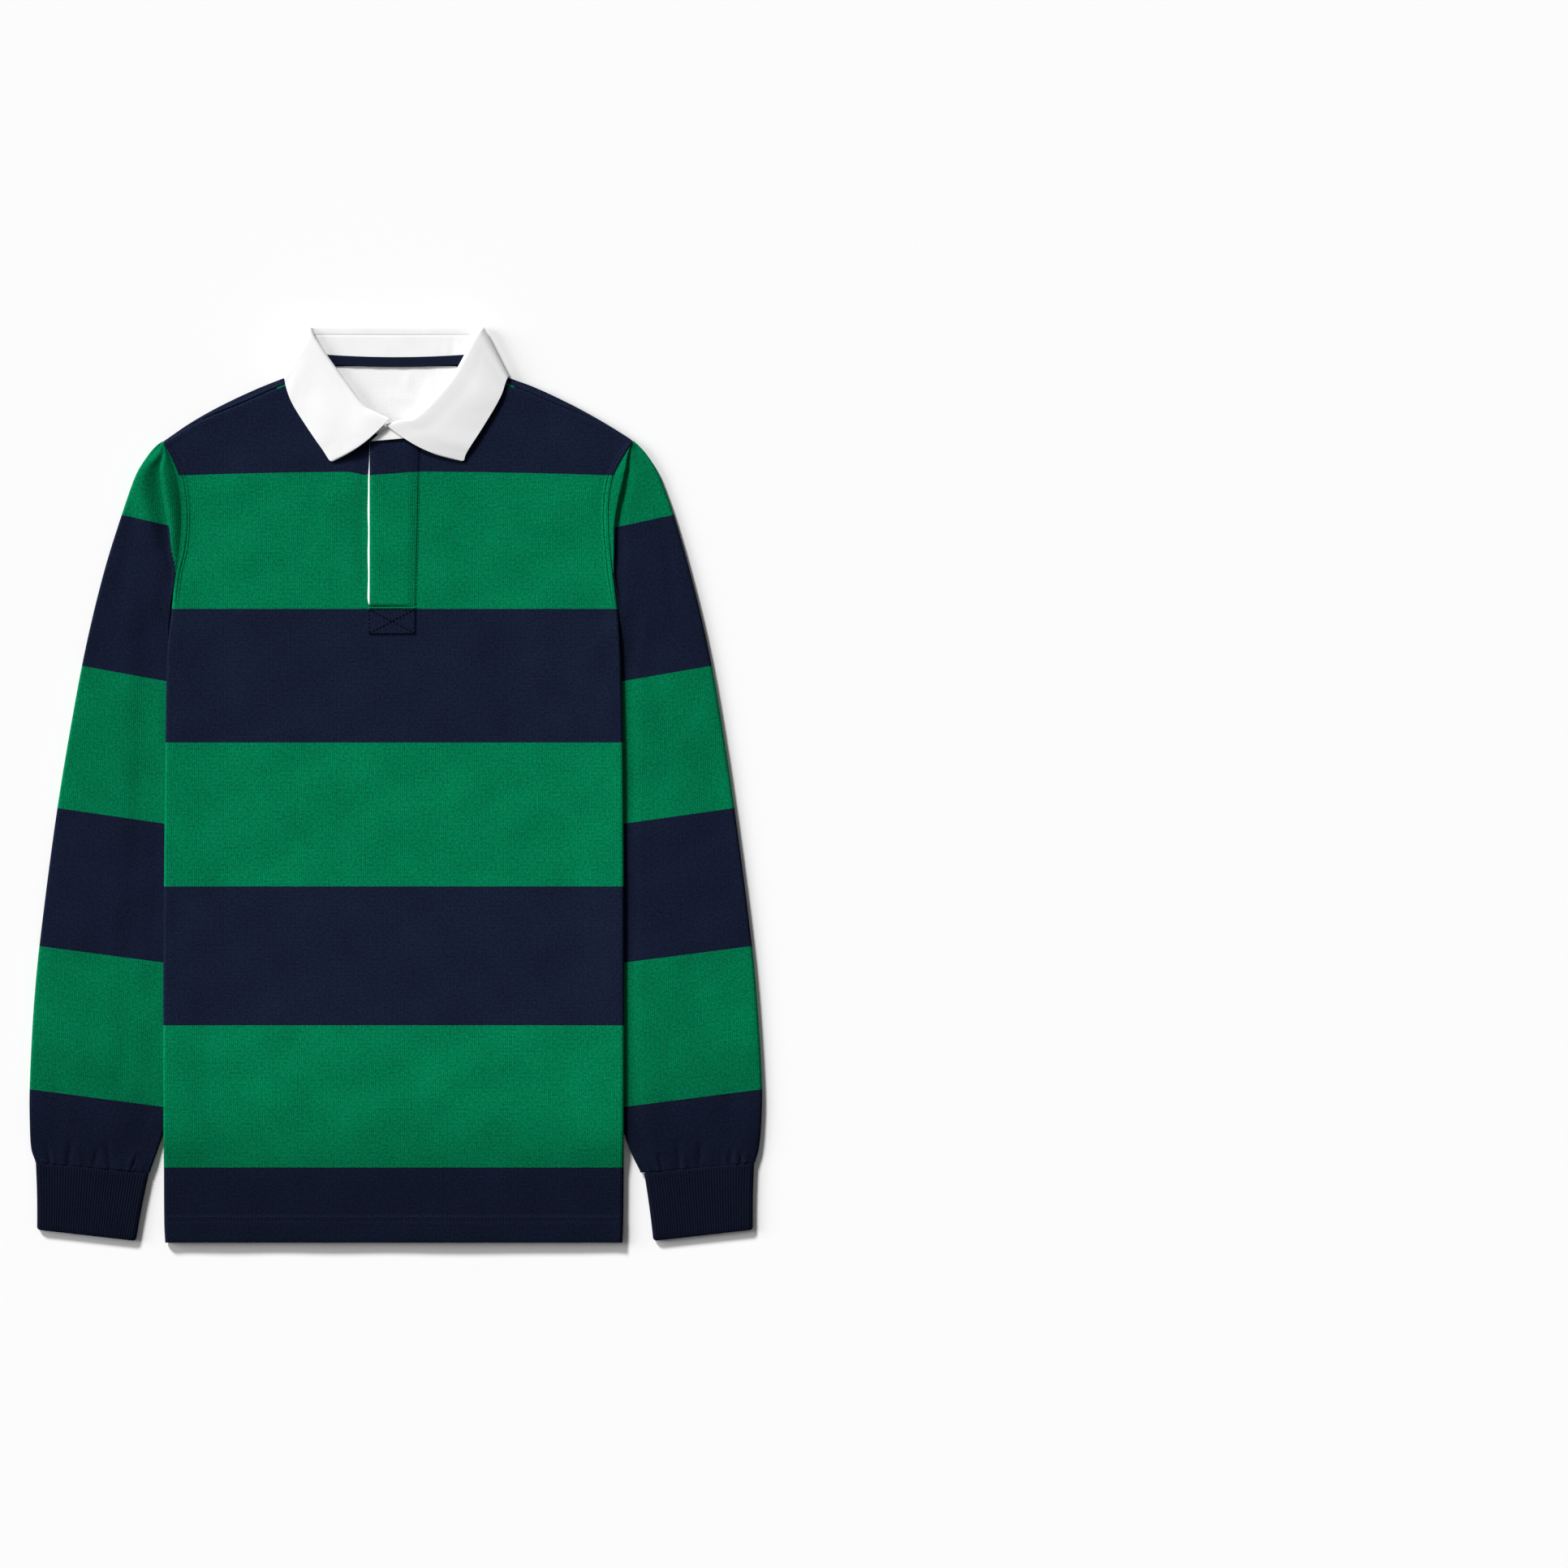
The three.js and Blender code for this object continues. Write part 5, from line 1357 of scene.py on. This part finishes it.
def patch_bottom(x):
    inside = 1 - np.abs(x / PATCH["across"]) ** PATCH["power"]
    return PATCH["y"] - PATCH["down"] * inside ** (1 / PATCH["power"])


u, v = np.meshgrid(np.linspace(-math.pi / 2, math.pi / 2, 81), np.linspace(0, 1, 50))
patch_x = PATCH["half"] * np.sin(u)
clear = 16 * smooth((np.abs(patch_x) - 52) / 12)
patch_top = np.minimum(PATCH["top"], left_shoulder(np.maximum(NECK_HALF_WIDTH, np.abs(patch_x))) - clear)
patch_y = lerp(patch_bottom(patch_x), patch_top, v)
raised = BACK_OVER_COLLAR * smooth((patch_y - 272) / 60)
PATCH_CREASES = table(
    "x0 y0 x1 y1 width depth",
    (12, 358, 9, 338, 3.0, 0.30), (34, 352, 22, 326, 4.0, 0.35), (-38, 350, -24, 322, 4.0, 0.30),
    (-10, 336, 16, 330, 5.0, 0.25), (40, 340, 30, 316, 3.0, 0.30),
)
ruffled = -trough(patch_x, patch_y, PATCH_CREASES)
patch_z = raised + JERSEY + SEAM_GAP + TRIM + ruffled * smooth(v * 8) * smooth((1 - v) * 8)
points = np.stack([patch_x, patch_y, patch_z], axis=-1)
neck_patch = cloth_piece(
    "neck_patch", points, points[..., :2], PATCH_JERSEY, "white_jersey", TRIM, rim=TRIM_RIM
)

# %% [markdown]
# ## Sewing
#
# A stitch is a short piece of thread that dips into the cloth at both ends, so each is a small
# grain shape, half sunk in its groove. One grain is modelled and set along each seam at the
# machine's stitch length, about three millimetres.

# %% One stitch, set along a seam
STITCH = {"pitch": 3.0, "length": 2.3, "radius": 0.3}


def stitch_grain():
    bpy.ops.object.select_all(action="DESELECT")
    bpy.ops.mesh.primitive_uv_sphere_add(segments=6, ring_count=4, radius=1.0)
    bpy.ops.object.mode_set(mode="EDIT")
    bpy.ops.mesh.select_all(action="SELECT")
    turn = math.pi / 2
    bpy.ops.transform.rotate(value=turn, orient_axis="Y", center_override=(0.0, 0.0, 0.0))
    bpy.ops.transform.resize(value=(STITCH["length"] / 2, STITCH["radius"], STITCH["radius"]))
    bpy.ops.object.mode_set(mode="OBJECT")
    grain = bpy.context.object
    points = np.array([v.co[:] for v in grain.data.vertices])
    faces = [list(p.vertices) for p in grain.data.polygons]
    bpy.ops.object.delete()
    return points, faces


GRAIN_POINTS, GRAIN_FACES = stitch_grain()


def along(path):
    """Centres and headings of stitches at even steps along a path of (x, y) points."""
    path = np.asarray(path, float)
    steps = np.linalg.norm(np.diff(path, axis=0), axis=-1)
    run = np.concatenate([[0.0], steps.cumsum()])
    count = max(1, int(run[-1] / STITCH["pitch"]))
    at = (np.arange(count) + 0.5) * run[-1] / count
    x, y = (np.interp(at, run, path[:, k]) for k in (0, 1))
    ahead = [np.interp(at + 0.5, run, path[:, k]) - np.interp(at - 0.5, run, path[:, k]) for k in (0, 1)]
    return x, y, np.arctan2(ahead[1], ahead[0])


def sew(name, paths, height, material, stout=1.0):
    """Joins the stitches of several seams into one piece. height gives the skin at (x, y)."""
    points, hoops = [], []
    for path in paths:
        x, y, heading = along(path)
        z = height(x, y)
        cos, sin = np.cos(heading)[:, None], np.sin(heading)[:, None]
        gx, gy, gz = (GRAIN_POINTS * (1.0, stout, stout)).T
        points.append(np.stack([
            x[:, None] + gx * cos - gy * sin, y[:, None] + gx * sin + gy * cos, z[:, None] + gz + 0 * cos,
        ], axis=-1).reshape(-1, 3))
        hoops.append(np.repeat(y, len(gx)))
    points, hoops = np.concatenate(points), np.concatenate(hoops)
    count = len(points) // len(GRAIN_POINTS)
    faces = [[k * len(GRAIN_POINTS) + v for v in face] for k in range(count) for face in GRAIN_FACES]
    mesh = bpy.data.meshes.new(name)
    mesh.from_pydata(points * MM, [], faces)
    piece = bpy.data.objects.new(name, mesh)
    scene.collection.objects.link(piece)
    layer = mesh.uv_layers.new(name="cloth")
    corners = np.empty(len(mesh.loops), dtype=np.int32)
    mesh.loops.foreach_get("vertex_index", corners)
    layer.data.foreach_set("uv", (np.stack([points[:, 0], hoops], axis=-1)[corners] * MM).ravel())
    mesh.shade_smooth()
    mesh.materials.append(material)
    declare(piece, [])


# %% Seams of the front
def armhole_path(side, inside):
    y = np.linspace(ARMPIT_Y + 4, TIP_Y - 6, 60)
    inwards = 1 if side == "left" else -1
    return np.stack([side_x(side, y) + inwards * inside, y], axis=-1)


def hem_path(y):
    x = np.linspace(side_x("left", np.array(y)) + 4, side_x("right", np.array(y)) - 4, 60)
    return np.stack([x, np.full(60, y)], axis=-1)


def front_height(x, y):
    return front_skin(x, y) + 0.02


front_paths = [armhole_path(side, SEAM_STITCHES) for side in ("left", "right")]
front_paths += [hem_path(y) for y in HEM_STITCHES]
sew("front_seams", front_paths, front_height, BODY_THREAD)

# %% Seams of the placket
box_top, box_bottom = PLACKET_FOLD_Y - 2.4, PLACKET["bottom"] + 1.1
box_left, box_right = float(placket_left(box_bottom)) + 0.8, float(placket_right(box_bottom)) - 0.9
corners = [(box_left, box_bottom), (box_right, box_bottom), (box_right, box_top), (box_left, box_top)]
box_paths = [[corners[k], corners[(k + 1) % 4]] for k in range(4)]
box_paths += [[corners[0], corners[2]], [corners[1], corners[3]]]
seam_y = np.linspace(PLACKET_FOLD_Y + 1, PLACKET["top"] - 4, 40)
box_paths.append(np.stack([placket_right(seam_y) - 0.9, seam_y], axis=-1))
sew(
    "placket_seams", box_paths, lambda x, y: front_skin(x, y) + placket_lift(x, y) + 0.12, PLACKET_THREAD,
    stout=1.6,
)

# %% [markdown]
# The back's seams lie against the table, so their stitches are sunk deeper. The curved row is the
# edge of the half-moon inside.

# %% Seams of the back
def back_height(x, y):
    fade = smooth(side_distance(x, y) / 14)
    return body_bottom(x, y) + back_relief(x, y, fade) + 0.2


moon_x = np.linspace(-PATCH["half"] + 3, PATCH["half"] - 3, 160)
back_paths = [armhole_path(side, SEAM_STITCHES) for side in ("left", "right")]
back_paths += [hem_path(y) for y in HEM_STITCHES]
back_paths.append(np.stack([moon_x, patch_bottom(moon_x) + 1.5], axis=-1))
sew("back_seams", back_paths, back_height, BODY_THREAD)
